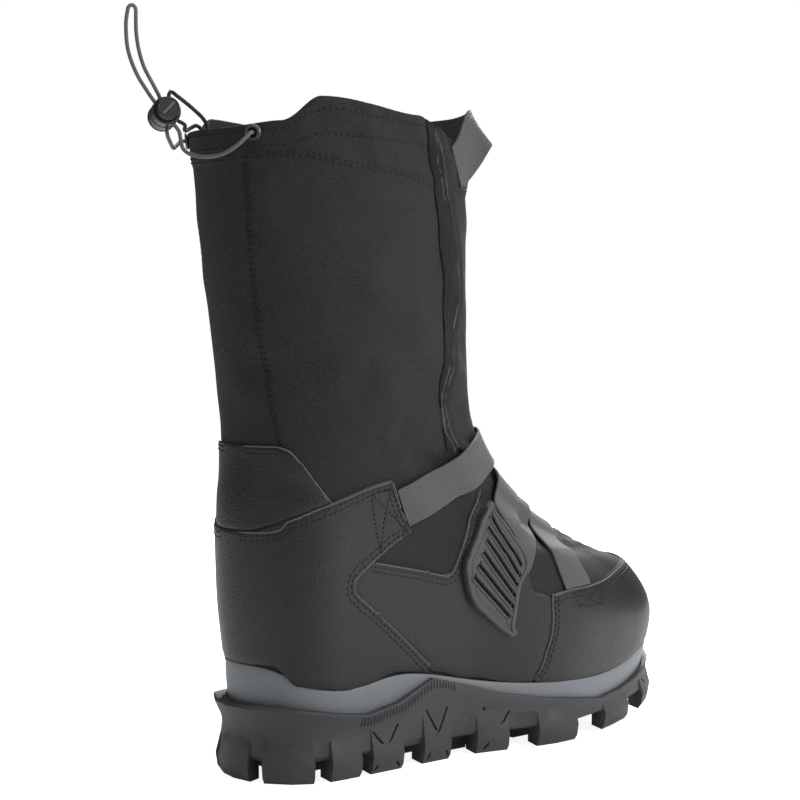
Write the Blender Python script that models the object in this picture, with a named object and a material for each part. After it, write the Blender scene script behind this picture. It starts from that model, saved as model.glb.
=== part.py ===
"""Tall winter overshoe for the right foot, in metres.

The heel stands on the origin, +X points to the toe, +Y to the inner side of the foot, +Z up.
The upper is a stack of tilted sections, and the sole and the panels follow the same sections.
"""
import math
from collections import namedtuple

import bmesh
import bpy
from mathutils import Vector
from mathutils.bvhtree import BVHTree

# Foot and shaft
FOOT_LENGTH = 0.328
HEEL_SETBACK = 0.040
BALL_WIDTH = 0.118
HEEL_WIDTH = 0.090
INSTEP_HEIGHT = 0.170
SHAFT_HEIGHT = 0.196
SHAFT_DEPTH = 0.172
SHAFT_WIDTH = 0.126
TOE_SWING = 0.009
UPPER_WALL = 0.0025
HEEL_PANEL_FACE = 0.0023
TOE_CAP_FACE = 0.0019
PATCH_FACE = 0.0015
FLAP_FACE = 0.0032

# Sole
TREAD_DEPTH = 0.012
OUTSOLE_PLATE = 0.005
HEEL_BED = 0.033
BALL_BED = 0.0245
OUTSOLE_WALL = 0.0034
MIDSOLE_WALL = 0.0030
MIDSOLE_CORNER = 0.0012
BAND_LAP = 0.0015
BAND_SHOULDER = 0.0022
FLANGE_REACH = 0.0045
TOE_SPRING = 0.0125
INSOLE_THICKNESS = 0.004
LUG_REACH = 0.0022
PANEL_LIFT = 0.0009
CLEARANCE = 0.0003

# Webbing, tab and fittings
WEBBING_WIDTH = 0.025
WEBBING_THICKNESS = 0.0015
WEBBING_LIFT = 0.0006
TAB_THICKNESS = 0.0030
RING_WIRE = 0.0030
RING_DEPTH = 0.014
RING_CORNER = 0.0035
EYELET_RADIUS = 0.0036
EYELET_WIRE = 0.0012
CORD_DIAMETER = 0.0022
CORD_STEP = 2.0
CORD_LIFT = 0.005
BARREL_RADIUS = 0.0076
BARREL_LENGTH = 0.0150
BUTTON_RADIUS = 0.0062
BUTTON_REACH = 0.0045
BUTTON_TRAVEL = 0.0035
BORE_CLEARANCE = 0.0004

# Fineness of the faceted solids
AROUND = 36
UPPER_LEVELS = 19

BLACK = (0.012, 0.011, 0.012)
GREY = (0.12, 0.135, 0.15)

Section = namedtuple("Section", "name back_x back_z front_x front_z heel waist ball toe back_round front_round")

# Foot sections. x is a share of FOOT_LENGTH, z of INSTEP_HEIGHT above the floor, heel half-width
# a share of HEEL_WIDTH, the other half-widths of BALL_WIDTH, and the rounds are shares of the section.
FOOT_SECTIONS = (
    Section("feather", 0.018, 0.190, 0.966, 0.210, 0.400, 0.300, 0.415, 0.365, 0.115, 0.220),
    Section("rim", 0.010, 0.360, 0.984, 0.305, 0.450, 0.338, 0.458, 0.404, 0.125, 0.225),
    Section("side", 0.000, 0.560, 0.990, 0.400, 0.495, 0.375, 0.485, 0.420, 0.130, 0.230),
    Section("cheek", -0.005, 0.720, 0.973, 0.490, 0.500, 0.385, 0.462, 0.370, 0.140, 0.230),
    Section("vamp", -0.008, 0.825, 0.922, 0.590, 0.500, 0.390, 0.412, 0.300, 0.160, 0.240),
    Section("ridge", -0.008, 0.885, 0.845, 0.642, 0.500, 0.395, 0.365, 0.240, 0.180, 0.280),
    Section("lower_instep", -0.006, 0.945, 0.765, 0.706, 0.505, 0.405, 0.345, 0.215, 0.200, 0.300),
    Section("instep", -0.003, 1.000, 0.688, 0.772, 0.515, 0.420, 0.350, 0.240, 0.240, 0.320),
)
# Shaft sections. x is a share of SHAFT_DEPTH, z of SHAFT_HEIGHT above INSTEP_HEIGHT, half-widths of
# SHAFT_WIDTH.
SHAFT_SECTIONS = (
    Section("throat", 0.000, 0.060, 1.140, -0.100, 0.395, 0.415, 0.360, 0.285, 0.300, 0.360),
    Section("ankle", 0.000, 0.130, 1.000, 0.025, 0.425, 0.435, 0.410, 0.370, 0.380, 0.430),
    Section("ankle_top", -0.005, 0.215, 0.915, 0.155, 0.455, 0.460, 0.445, 0.425, 0.460, 0.480),
    Section("shaft_low", -0.030, 0.385, 0.880, 0.360, 0.475, 0.478, 0.473, 0.465, 0.495, 0.495),
    Section("shaft_mid", -0.067, 0.640, 0.880, 0.615, 0.490, 0.492, 0.490, 0.488, 0.500, 0.500),
    Section("collar_seam", -0.096, 0.860, 0.875, 0.870, 0.498, 0.500, 0.500, 0.498, 0.500, 0.500),
    Section("collar_top", -0.113, 0.985, 0.868, 1.010, 0.500, 0.502, 0.502, 0.500, 0.500, 0.500),
)
STATIONS = (0.12, 0.40, 0.66, 0.86)
# Rise of the collar's edge at shares of its way from back to front, on the outer and inner side,
# as shares of SHAFT_HEIGHT.
COLLAR_EDGE = ((0.0, 0.0, 0.0), (0.13, 0.014, 0.005), (0.24, 0.080, 0.055), (0.60, 0.032, 0.035),
               (0.90, -0.065, 0.015), (1.0, -0.03, -0.03))


def clear_scene():
    for item in list(bpy.data.objects):
        bpy.data.objects.remove(item, do_unlink=True)


def make_collection(name):
    collection = bpy.data.collections.new(name)
    bpy.context.scene.collection.children.link(collection)
    return collection


def material(name, colour, roughness, metallic=0.0):
    made = bpy.data.materials.new(name)
    made.use_nodes = True
    shader = made.node_tree.nodes["Principled BSDF"]
    shader.inputs["Base Color"].default_value = (*colour, 1.0)
    shader.inputs["Roughness"].default_value = roughness
    shader.inputs["Metallic"].default_value = metallic
    return made


def table_value(rows, where, column):
    """Value of a table's column at a place, on a smooth step between its rows."""
    if where <= rows[0][0]:
        return rows[0][column]
    for low, high in zip(rows, rows[1:]):
        if where <= high[0]:
            share = (where - low[0]) / (high[0] - low[0])
            share = share * share * (3.0 - 2.0 * share)
            return low[column] + (high[column] - low[column]) * share
    return rows[-1][column]


def catmull(a, b, c, d, t):
    return 0.5 * (2 * b + (c - a) * t + (2 * a - 5 * b + 4 * c - d) * t * t + (3 * b - 3 * c + d - a) * t ** 3)


def real_sections():
    """Both tables in metres, from the sole up."""
    rows = []
    for row in FOOT_SECTIONS:
        rows.append((row.back_x * FOOT_LENGTH - HEEL_SETBACK, row.back_z * INSTEP_HEIGHT,
                     row.front_x * FOOT_LENGTH - HEEL_SETBACK, row.front_z * INSTEP_HEIGHT,
                     row.heel * HEEL_WIDTH, row.waist * BALL_WIDTH, row.ball * BALL_WIDTH,
                     row.toe * BALL_WIDTH, row.back_round, row.front_round))
    for row in SHAFT_SECTIONS:
        rows.append((row.back_x * SHAFT_DEPTH - HEEL_SETBACK, INSTEP_HEIGHT + row.back_z * SHAFT_HEIGHT,
                     row.front_x * SHAFT_DEPTH - HEEL_SETBACK, INSTEP_HEIGHT + row.front_z * SHAFT_HEIGHT,
                     row.heel * SHAFT_WIDTH, row.waist * SHAFT_WIDTH, row.ball * SHAFT_WIDTH,
                     row.toe * SHAFT_WIDTH, row.back_round, row.front_round))
    return rows


SECTIONS = real_sections()
TOP = len(SECTIONS) - 1
UPPER_ROWS = [TOP * index / (UPPER_LEVELS - 1) for index in range(UPPER_LEVELS)]
RIM_LEVEL = 1.0


def section_at(level):
    """Section values at a level, which counts the table rows from 0."""
    level = min(max(level, 0.0), TOP)
    index = min(int(level), TOP - 1)
    before, low = SECTIONS[max(index - 1, 0)], SECTIONS[index]
    high, after = SECTIONS[index + 1], SECTIONS[min(index + 2, TOP)]
    return [catmull(*values, level - index) for values in zip(before, low, high, after)]


def end_round(share, back_round, front_round):
    """Half-width left at a share of the section's length, as its ends close in quarter ellipses."""
    if share < back_round:
        return math.sqrt(max(0.0, 1.0 - (1.0 - share / back_round) ** 2))
    if share > 1.0 - front_round:
        return math.sqrt(max(0.0, 1.0 - (1.0 - (1.0 - share) / front_round) ** 2))
    return 1.0


def upper_point(turn, level):
    """Point of the upper's outer face. turn is 0 at the heel, then the outer side, and 0.5 at the toe."""
    back_x, back_z, front_x, front_z, heel, waist, ball, toe, back_round, front_round = section_at(level)
    share = 0.5 - 0.5 * math.cos(2.0 * math.pi * turn)
    side = -1.0 if turn % 1.0 < 0.5 else 1.0
    widths = tuple(zip(STATIONS, (heel, waist, ball, toe)))
    half = table_value(widths, share, 1) * end_round(share, back_round, front_round)
    x = back_x + (front_x - back_x) * share
    z = back_z + (front_z - back_z) * share
    if level < RIM_LEVEL:
        rim_z = SECTIONS[1][1] + (SECTIONS[1][3] - SECTIONS[1][1]) * share
        z = (bed_height(x) + CLEARANCE) * (1.0 - level) + rim_z * level
    if level > TOP - 1:
        z += table_value(COLLAR_EDGE, share, 1 if side < 0 else 2) * SHAFT_HEIGHT * (level - TOP + 1)
    swing = TOE_SWING * max(0.0, (x - 0.4 * FOOT_LENGTH) / (0.5 * FOOT_LENGTH)) ** 1.5
    return Vector((x, side * half + swing, z))


def upper_offset(turn, level, distance):
    """Point at a distance outside the upper's outer face."""
    step = 0.004
    along = upper_point(turn + step, level) - upper_point(turn - step, level)
    low, high = max(level - 0.15, 0.0), min(level + 0.15, float(TOP))
    up = upper_point(turn, high) - upper_point(turn, low)
    return upper_point(turn, level) + along.cross(up).normalized() * distance


def ring_turns():
    return [index / AROUND for index in range(AROUND)]


def loft(name, rings, collection, paint, wrap=False, capped=True):
    """Closed solid through rings of points. Wrapped, its last ring joins its first; capped, its ends close."""
    mesh = bmesh.new()
    rows = [[mesh.verts.new(point) for point in ring] for ring in rings]
    pairs = list(zip(rows, rows[1:]))
    if wrap:
        pairs.append((rows[-1], rows[0]))
    for low, high in pairs:
        band(mesh, low, high)
    if capped and not wrap:
        for ring in (rows[0], rows[-1]):
            ladder(mesh, ring)
    bmesh.ops.recalc_face_normals(mesh, faces=mesh.faces)
    return finish(name, mesh, collection, paint)


def band(mesh, low, high):
    """Triangles between two rings. Every diagonal leans the same way, so nested walls stay parallel."""
    count = len(low)
    rising = sum(vert.co.z for vert in high) > sum(vert.co.z for vert in low)
    for index in range(count):
        following = (index + 1) % count
        corners = (low[index], low[following], high[following], high[index])
        if rising:
            corners = corners[:3], (corners[0], corners[2], corners[3])
        else:
            corners = (corners[0], corners[1], corners[3]), corners[1:]
        for corner in corners:
            mesh.faces.new(corner)


def ladder(mesh, ring):
    """Close a ring with rungs from its outer to its inner side."""
    count = len(ring)
    half = count // 2
    mesh.faces.new((ring[0], ring[1], ring[-1]))
    for index in range(1, half - 1):
        mesh.faces.new((ring[index], ring[index + 1], ring[count - index - 1], ring[count - index]))
    mesh.faces.new((ring[half - 1], ring[half], ring[half + 1]))


def finish(name, mesh, collection, paint):
    data = bpy.data.meshes.new(name)
    mesh.to_mesh(data)
    mesh.free()
    made = bpy.data.objects.new(name, data)
    collection.objects.link(made)
    if paint:
        data.materials.append(paint)
    data.shade_smooth()
    data.set_sharp_from_angle(angle=math.radians(35.0))
    return made


# Along the sole at shares of FOOT_LENGTH from the heel: heights in shares of HEEL_BED of the grey
# band's top and of the outsole's wall, and the heel flange as a share of FLANGE_REACH.
SoleRow = namedtuple("SoleRow", "place band_top wall_top flange")
SOLE_SIDE = (
    SoleRow(0.000, 1.97, 1.30, 1.00),
    SoleRow(0.030, 1.99, 1.32, 1.00),
    SoleRow(0.060, 1.63, 1.29, 1.00),
    SoleRow(0.090, 1.58, 1.22, 0.95),
    SoleRow(0.150, 1.48, 1.10, 0.85),
    SoleRow(0.185, 1.52, 1.06, 0.75),
    SoleRow(0.250, 1.69, 1.18, 0.45),
    SoleRow(0.340, 1.58, 1.53, 0.10),
    SoleRow(0.430, 1.36, 1.28, 0.00),
    SoleRow(0.530, 1.18, 0.98, 0.00),
    SoleRow(0.630, 1.11, 0.82, 0.00),
    SoleRow(0.740, 1.08, 0.68, 0.00),
    SoleRow(0.830, 1.15, 0.76, 0.00),
    SoleRow(0.910, 1.45, 0.98, 0.00),
    SoleRow(1.000, 1.66, 1.25, 0.00),
)
# Shares of FOOT_LENGTH where the ball's flat tread ends and where the foot bed has come down.
SPRING_START = 0.58
BED_DOWN = (0.20, 0.52)


def place_of(point):
    return min(max((point.x + HEEL_SETBACK) / FOOT_LENGTH, 0.0), 1.0)


def tread_height(x):
    """Height of the tread's ground line: flat to the ball, then rising to the toe."""
    start = SPRING_START * FOOT_LENGTH - HEEL_SETBACK
    return TOE_SPRING * max(0.0, (x - start) / (FOOT_LENGTH - HEEL_SETBACK - start)) ** 2


def bed_height(x):
    """Height of the sole's inside floor, from the heel down to the ball and up with the toe."""
    place = (x + HEEL_SETBACK) / FOOT_LENGTH
    share = min(max((place - BED_DOWN[0]) / (BED_DOWN[1] - BED_DOWN[0]), 0.0), 1.0)
    share = share * share * (3.0 - 2.0 * share)
    return HEEL_BED + (BALL_BED - HEEL_BED) * share + tread_height(x)


def sole_wall(turn, height, distance):
    """Point beside the upper at a height, at a level distance outside it."""
    rows = [upper_offset(turn, level, distance) for level in UPPER_ROWS[:4]]
    for low, high in zip(rows, rows[1:]):
        if height <= high.z or high is rows[-1]:
            share = max(0.0, (height - low.z) / (high.z - low.z))
            return Vector((low.x + (high.x - low.x) * share, low.y + (high.y - low.y) * share, height))


def plate_ring(above, distance):
    """Ring under the foot at a height above the ground line, at a distance outside the feather edge."""
    ring = []
    for turn in ring_turns():
        point = upper_offset(turn, 0.0, distance)
        ring.append(Vector((point.x, point.y, above + tread_height(point.x))))
    return ring


MIDSOLE_BASE = TREAD_DEPTH + OUTSOLE_PLATE + CLEARANCE
BAND_FACE = CLEARANCE + MIDSOLE_WALL
WALL_INSIDE = BAND_FACE + CLEARANCE
WALL_FACE = WALL_INSIDE + OUTSOLE_WALL


def bed_ring(distance, below=0.0):
    """Ring at the height of the foot bed."""
    ring = []
    for turn in ring_turns():
        point = upper_offset(turn, 0.0, distance)
        ring.append(Vector((point.x, point.y, bed_height(point.x) - below)))
    return ring


def side_height(turn, column):
    return table_value(SOLE_SIDE, place_of(upper_point(turn, RIM_LEVEL)), column) * HEEL_BED


def rim_ring(column, distance, drop=0.0):
    return [sole_wall(turn, side_height(turn, column) - drop, distance) for turn in ring_turns()]


def wall_knee(turn):
    """Point of the midsole's inside where the upper's wall bends, or just under the rim where that is lower."""
    height = min(upper_offset(turn, UPPER_ROWS[1], CLEARANCE).z, side_height(turn, 1) - BAND_LAP)
    return sole_wall(turn, height, CLEARANCE)


def make_midsole(collection, paint):
    """Grey cup: its floor under the foot and its wall up to the band's top."""
    rings = [
        plate_ring(MIDSOLE_BASE, BAND_FACE - MIDSOLE_CORNER),
        plate_ring(MIDSOLE_BASE + MIDSOLE_WALL, BAND_FACE),
        rim_ring(2, BAND_FACE, BAND_LAP),
        rim_ring(1, BAND_FACE - 0.2 * BAND_SHOULDER, BAND_SHOULDER),
        rim_ring(1, BAND_FACE - 0.7 * BAND_SHOULDER),
        rim_ring(1, CLEARANCE),
        [wall_knee(turn) for turn in ring_turns()],
        bed_ring(CLEARANCE),
    ]
    return loft("midsole", rings, collection, paint)


def wall_ring(share, distance, flange=0.0):
    """Ring on the outsole's side, at a share of its height over the lugs, standing out by the flange."""
    ring = []
    for turn in ring_turns():
        top = side_height(turn, 2)
        point = upper_point(turn, RIM_LEVEL)
        low = TREAD_DEPTH + tread_height(point.x)
        reach = distance + FLANGE_REACH * flange * table_value(SOLE_SIDE, place_of(point), 3)
        ring.append(sole_wall(turn, low + (top - low) * share, reach))
    return ring


# Lugs along the outer edge as shares of FOOT_LENGTH from their back to their front, and how far
# up the wall their faces reach, as a share of the wall.
Lug = namedtuple("Lug", "back front climb")
SIDE_LUGS = (
    Lug(0.025, 0.080, 0.35), Lug(0.105, 0.165, 0.40), Lug(0.190, 0.262, 0.62), Lug(0.312, 0.376, 0.60),
    Lug(0.442, 0.512, 0.62), Lug(0.574, 0.662, 0.66), Lug(0.745, 0.826, 0.70), Lug(0.885, 0.945, 0.72),
)
LUG_INWARD = 0.014
END_LUG_INWARD = 0.009


def turn_at(place, side):
    """Turn where the rim passes a share of FOOT_LENGTH, on the outer (-1) or inner (1) side."""
    back_x, _, front_x = SECTIONS[1][:3]
    share = (place * FOOT_LENGTH - HEEL_SETBACK - back_x) / (front_x - back_x)
    turn = math.acos(1.0 - 2.0 * min(max(share, 0.0), 1.0)) / (2.0 * math.pi)
    return turn if side < 0 else 1.0 - turn


def lug_profile(turn, climb, inward, centre):
    """Section of a lug in the plane across the sole's edge, from its inner top round to its inner foot."""
    ground = tread_height(upper_point(turn, RIM_LEVEL).x)
    top = ground + TREAD_DEPTH + (side_height(turn, 2) - ground - TREAD_DEPTH) * climb
    reach = WALL_FACE + FLANGE_REACH * 0.3 * table_value(SOLE_SIDE, place_of(upper_point(turn, RIM_LEVEL)), 3)
    face = [
        sole_wall(turn, top, reach - 0.001),
        sole_wall(turn, ground + 0.85 * TREAD_DEPTH, reach + LUG_REACH),
        sole_wall(turn, ground + 0.25 * TREAD_DEPTH, reach + 0.5 * LUG_REACH),
        sole_wall(turn, ground, reach - 0.001),
    ]
    way = (Vector((centre.x, centre.y, 0.0)) - Vector((face[0].x, face[0].y, 0.0))).normalized()
    foot = Vector((face[3].x, face[3].y, ground)) + way * inward
    joined = ground + TREAD_DEPTH + 0.3 * OUTSOLE_PLATE
    roots = [
        Vector((foot.x, foot.y, joined)),
        sole_wall(turn, joined, WALL_FACE - 0.5 * OUTSOLE_WALL),
        sole_wall(turn, top, WALL_FACE - 0.5 * OUTSOLE_WALL),
    ]
    return roots + face + [foot]


def add_block(mesh, rings):
    """Closed block through open sections."""
    rows = [[mesh.verts.new(point) for point in ring] for ring in rings]
    for low, high in zip(rows, rows[1:]):
        for index in range(len(low)):
            following = (index + 1) % len(low)
            mesh.faces.new((low[index], low[following], high[following], high[index]))
    mesh.faces.new(rows[0])
    mesh.faces.new(rows[-1])


def make_lugs(collection):
    """All lugs as one cutter: both edges, the heel's back, the toe and the middle of the tread."""
    mesh = bmesh.new()
    for side in (-1.0, 1.0):
        for lug in SIDE_LUGS:
            middle = 0.5 * (lug.back + lug.front)
            centre = Vector((middle * FOOT_LENGTH - HEEL_SETBACK, 0.0, 0.0))
            turns = [turn_at(place, side) for place in (lug.back, middle, lug.front)]
            add_block(mesh, [lug_profile(turn, lug.climb, LUG_INWARD, centre) for turn in turns])
    for around, climb, at in ((0.0, 0.35, 0.10), (0.5, 0.70, 0.90)):
        centre = Vector((at * FOOT_LENGTH - HEEL_SETBACK, 0.3 * TOE_SWING if around else 0.0, 0.0))
        turns = [around + step for step in (-0.024, 0.0, 0.024)]
        add_block(mesh, [lug_profile(turn, climb, END_LUG_INWARD, centre) for turn in turns])
    for block in MIDDLE_LUGS:
        add_middle_lug(mesh, block)
    bmesh.ops.recalc_face_normals(mesh, faces=mesh.faces)
    return cutter(finish("lug_blocks", mesh, collection, None))


# Blocks under the middle of the foot: place and length as shares of FOOT_LENGTH, offset and width
# as shares of BALL_WIDTH.
Block = namedtuple("Block", "place offset length width")
MIDDLE_LUGS = (
    Block(0.122, 0.00, 0.085, 0.26), Block(0.222, 0.00, 0.055, 0.22),
    Block(0.345, -0.07, 0.045, 0.11), Block(0.345, 0.10, 0.045, 0.11),
    Block(0.430, -0.14, 0.050, 0.16), Block(0.430, 0.12, 0.050, 0.16),
    Block(0.515, -0.16, 0.050, 0.17), Block(0.515, 0.14, 0.050, 0.17),
    Block(0.600, -0.13, 0.050, 0.17), Block(0.600, 0.18, 0.050, 0.17),
    Block(0.685, -0.14, 0.050, 0.17), Block(0.685, 0.18, 0.050, 0.17),
    Block(0.770, -0.06, 0.045, 0.14), Block(0.770, 0.16, 0.045, 0.14),
    Block(0.850, 0.06, 0.045, 0.20),
)


def add_middle_lug(mesh, block):
    """Tapered block from the tread's ground line up into the outsole's plate."""
    x = block.place * FOOT_LENGTH - HEEL_SETBACK
    y = block.offset * BALL_WIDTH
    rings = []
    for above, grow in ((0.0, 0.0), (TREAD_DEPTH + 0.002, 0.0015)):
        ring = []
        for along, across in ((-0.5, -0.5), (0.5, -0.5), (0.5, 0.5), (-0.5, 0.5)):
            corner_x = x + along * (block.length * FOOT_LENGTH + 2.0 * grow)
            corner_y = y + across * (block.width * BALL_WIDTH + 2.0 * grow)
            ring.append(Vector((corner_x, corner_y, tread_height(corner_x) + above)))
        rings.append(ring)
    add_block(mesh, rings)


def cutter(item):
    item.hide_render = True
    item.display_type = "WIRE"
    return item


def boolean(item, tool, operation):
    made = item.modifiers.new(operation.lower(), "BOOLEAN")
    made.operation = operation
    made.solver = "EXACT"
    made.object = tool


def make_outsole(collection, tools, paint):
    """Black cup with the heel's flange, and the lugs joined to it."""
    rings = [
        plate_ring(TREAD_DEPTH, WALL_FACE - 0.0060),
        plate_ring(TREAD_DEPTH, WALL_FACE - 0.0015),
        wall_ring(0.10, WALL_FACE, 0.25),
        wall_ring(0.55, WALL_FACE - 0.0004, 0.10),
        wall_ring(0.72, WALL_FACE - 0.0002, 0.35),
        wall_ring(0.96, WALL_FACE - 0.0004, 1.00),
        wall_ring(1.00, WALL_FACE - 0.0010, 0.85),
        wall_ring(1.00, WALL_INSIDE),
        plate_ring(TREAD_DEPTH + OUTSOLE_PLATE + 0.003, WALL_INSIDE),
        plate_ring(TREAD_DEPTH + OUTSOLE_PLATE, WALL_INSIDE - 0.0012),
    ]
    outsole = loft("outsole", rings, collection, paint)
    boolean(outsole, make_lugs(tools), "UNION")
    return outsole


def make_insole(collection, paint):
    """Flat footbed inside the upper."""
    edge = -UPPER_WALL - 2.0 * CLEARANCE
    rings = []
    for above in (CLEARANCE, INSOLE_THICKNESS):
        rings.append([Vector((point.x, point.y, bed_height(point.x) + above))
                      for point in (upper_offset(turn, 0.0, edge) for turn in ring_turns())])
    return loft("insole", rings, collection, paint)


def make_upper(collection, paint):
    outer = [[upper_point(turn, level) for turn in ring_turns()] for level in UPPER_ROWS]
    inner = [[upper_offset(turn, level, -UPPER_WALL) for turn in ring_turns()] for level in reversed(UPPER_ROWS)]
    return loft("upper", outer + inner, collection, paint, wrap=True)


# Panels in side view. x is a share of FOOT_LENGTH from the heel, z of INSTEP_HEIGHT.
HEEL_TAB = ((-0.20, 0.830), (0.000, 0.833), (0.036, 0.870), (0.075, 0.905), (0.123, 0.937), (0.171, 0.973),
            (0.211, 0.992), (0.220, 0.985), (0.248, 0.886), (0.270, 0.811), (0.239, 0.778), (0.195, 0.724),
            (0.157, 0.672), (0.150, 0.645), (0.156, 0.615), (0.215, 0.525), (0.263, 0.450), (0.330, 0.342))
ANKLE_PATCH = ((-0.20, 1.100), (0.006, 1.114), (0.032, 1.111), (0.044, 1.100), (0.052, 1.080), (0.076, 1.006),
               (0.106, 0.925), (0.140, 0.800), (-0.20, 0.700))
QUARTER = ((0.100, 0.770), (0.195, 0.718), (0.286, 0.679), (0.348, 0.649), (0.364, 0.650), (0.376, 0.678),
           (0.396, 0.765), (0.424, 0.863), (0.450, 0.930), (0.485, 0.900), (0.530, 0.700), (0.548, 0.560),
           (0.588, 0.533), (0.588, 0.429), (0.586, 0.379), (0.575, 0.285), (0.566, 0.255))
TOE_CAP = ((0.588, 0.533), (0.600, 0.545), (0.643, 0.554), (0.713, 0.556), (0.778, 0.565), (0.851, 0.585),
           (0.906, 0.596), (0.960, 0.640), (1.200, 0.640))
TOE_CAP_REAR = ((0.566, 0.255), (0.575, 0.285), (0.586, 0.379), (0.588, 0.429))
FLAP_EDGE_OUTER = ((0.260, 2.600), (0.292, 2.300), (0.299, 2.165), (0.311, 2.055), (0.328, 1.967), (0.353, 1.859),
                   (0.375, 1.740), (0.383, 1.629), (0.372, 1.448), (0.348, 1.317), (0.341, 1.216), (0.347, 1.164),
                   (0.373, 1.086), (0.430, 1.000), (0.560, 0.960), (0.900, 0.960), (0.900, 0.400), (-0.400, 0.400),
                   (-0.400, 2.600))
FLAP_EDGE_INNER = ((0.430, 2.600), (0.440, 1.900), (0.450, 1.400), (0.480, 1.120), (0.560, 0.960), (0.900, 0.960),
                   (0.900, 0.400), (-0.400, 0.400), (-0.400, 2.600))
PULL_TAB = ((0.476, 0.884), (0.491, 0.833), (0.512, 0.781), (0.537, 0.666), (0.514, 0.589), (0.506, 0.516),
            (0.503, 0.445), (0.510, 0.415), (0.498, 0.406), (0.467, 0.447), (0.416, 0.530), (0.399, 0.592),
            (0.391, 0.657), (0.392, 0.691), (0.409, 0.751), (0.436, 0.818), (0.457, 0.867))


def side_points(outline):
    return [(x * FOOT_LENGTH - HEEL_SETBACK, z * INSTEP_HEIGHT) for x, z in outline]


def sole_room(collection):
    """Cutter below the grey band's top, which trims the panels' lower edges."""
    rings = []
    for distance, floor in ((RIM_REACH, True), (RIM_REACH, False), (-RIM_REACH, False)):
        ring = rim_ring(1, distance)
        for point in ring:
            point.z = -RIM_REACH if floor else point.z + PANEL_LIFT
        rings.append(ring)
    return cutter(loft("sole_room", rings, collection, None))


def grown(points, distance):
    """Outline moved out all round by a distance."""
    count = len(points)
    area = sum(points[i][0] * points[(i + 1) % count][1] - points[(i + 1) % count][0] * points[i][1]
               for i in range(count))
    turned = distance if area > 0.0 else -distance
    moved = []
    for i in range(count):
        before, here, after = (Vector(points[j % count]) for j in (i - 1, i, i + 1))
        first, second = (here - before).normalized(), (after - here).normalized()
        out = Vector((first.y + second.y, -first.x - second.x))
        scale = turned / max(0.5, 0.5 * out.length)
        moved.append(tuple(here + out.normalized() * scale))
    return moved


def prism(name, points, low_y, high_y, collection):
    """Cutter with a side-view outline, from one y to another."""
    mesh = bmesh.new()
    near = [mesh.verts.new((x, low_y, z)) for x, z in points]
    far = [mesh.verts.new((x, high_y, z)) for x, z in points]
    mesh.faces.new(near)
    mesh.faces.new(far)
    for index in range(len(points)):
        following = (index + 1) % len(points)
        mesh.faces.new((near[index], near[following], far[following], far[index]))
    bmesh.ops.recalc_face_normals(mesh, faces=mesh.faces)
    return cutter(finish(name, mesh, collection, None))


def shell(name, inner, outer, levels, collection, paint):
    """Closed skin between two distances outside the upper, through a run of levels."""
    rows = [level for level in UPPER_ROWS if levels[0] <= level <= levels[1]]
    outside = [[upper_offset(turn, level, outer) for turn in ring_turns()] for level in rows]
    inside = [[upper_offset(turn, level, inner) for turn in ring_turns()] for level in reversed(rows)]
    return loft(name, outside + inside, collection, paint, wrap=True)


# Slots of the pull tab, from the first to the last, each from its upper to its lower end.
TAB_SLOTS = 6
FIRST_SLOT = ((0.464, 0.840), (0.518, 0.655))
LAST_SLOT = ((0.410, 0.635), (0.492, 0.477))
SLOT_WIDTH = 0.0018

# Middle lines of the webbing from the inner side's ring to the outer side, in shares of
# FOOT_LENGTH along x, BALL_WIDTH across and INSTEP_HEIGHT up.
STRAP_ANKLE = ((0.385, 0.42, 0.800), (0.430, 0.38, 0.900), (0.490, 0.26, 0.990), (0.532, 0.02, 1.060),
               (0.480, -0.22, 1.055), (0.389, -0.39, 1.004), (0.328, -0.41, 0.957), (0.249, -0.42, 0.896),
               (0.190, -0.40, 0.848))
STRAP_UPPER_LEG = ((0.398, 0.43, 0.790), (0.450, 0.37, 0.880), (0.530, 0.22, 0.960), (0.580, 0.00, 0.960),
                   (0.566, -0.14, 0.920), (0.532, -0.25, 0.856), (0.497, -0.33, 0.805), (0.465, -0.38, 0.740))
STRAP_LOWER_LEG = ((0.500, 0.45, 0.640), (0.550, 0.39, 0.740), (0.610, 0.22, 0.840), (0.620, 0.02, 0.880),
                   (0.594, -0.16, 0.850), (0.572, -0.24, 0.800), (0.536, -0.36, 0.738), (0.505, -0.42, 0.665))
STRAP_TOE = ((0.515, 0.46, 0.610), (0.580, 0.40, 0.700), (0.655, 0.22, 0.790), (0.672, 0.02, 0.800),
             (0.662, -0.14, 0.770), (0.645, -0.27, 0.715), (0.648, -0.40, 0.650), (0.660, -0.45, 0.570),
             (0.668, -0.46, 0.490))
KEEPER_LENGTH = 0.022

# Webbing loop on the front flap, from its outer end to its inner end: its upper and lower edge in
# shares of SHAFT_DEPTH along x, SHAFT_WIDTH across and SHAFT_HEIGHT above INSTEP_HEIGHT.
EdgePair = namedtuple("EdgePair", "high_x high_y high_z low_x low_y low_z")
PULL_LOOP = (
    EdgePair(0.631, -0.473, 0.949, 0.700, -0.428, 0.840),
    EdgePair(0.674, -0.444, 0.977, 0.741, -0.422, 0.865),
    EdgePair(0.725, -0.401, 1.026, 0.786, -0.438, 0.913),
    EdgePair(0.773, -0.355, 1.066, 0.824, -0.447, 0.962),
    EdgePair(0.817, -0.299, 1.077, 0.859, -0.366, 0.963),
    EdgePair(0.864, -0.223, 1.080, 0.891, -0.253, 0.956),
    EdgePair(0.910, -0.114, 1.076, 0.919, -0.124, 0.949),
    EdgePair(0.927, 0.000, 1.071, 0.927, 0.000, 0.944),
    EdgePair(0.917, 0.112, 1.069, 0.917, 0.112, 0.941),
    EdgePair(0.896, 0.190, 1.066, 0.896, 0.190, 0.939),
)

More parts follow.
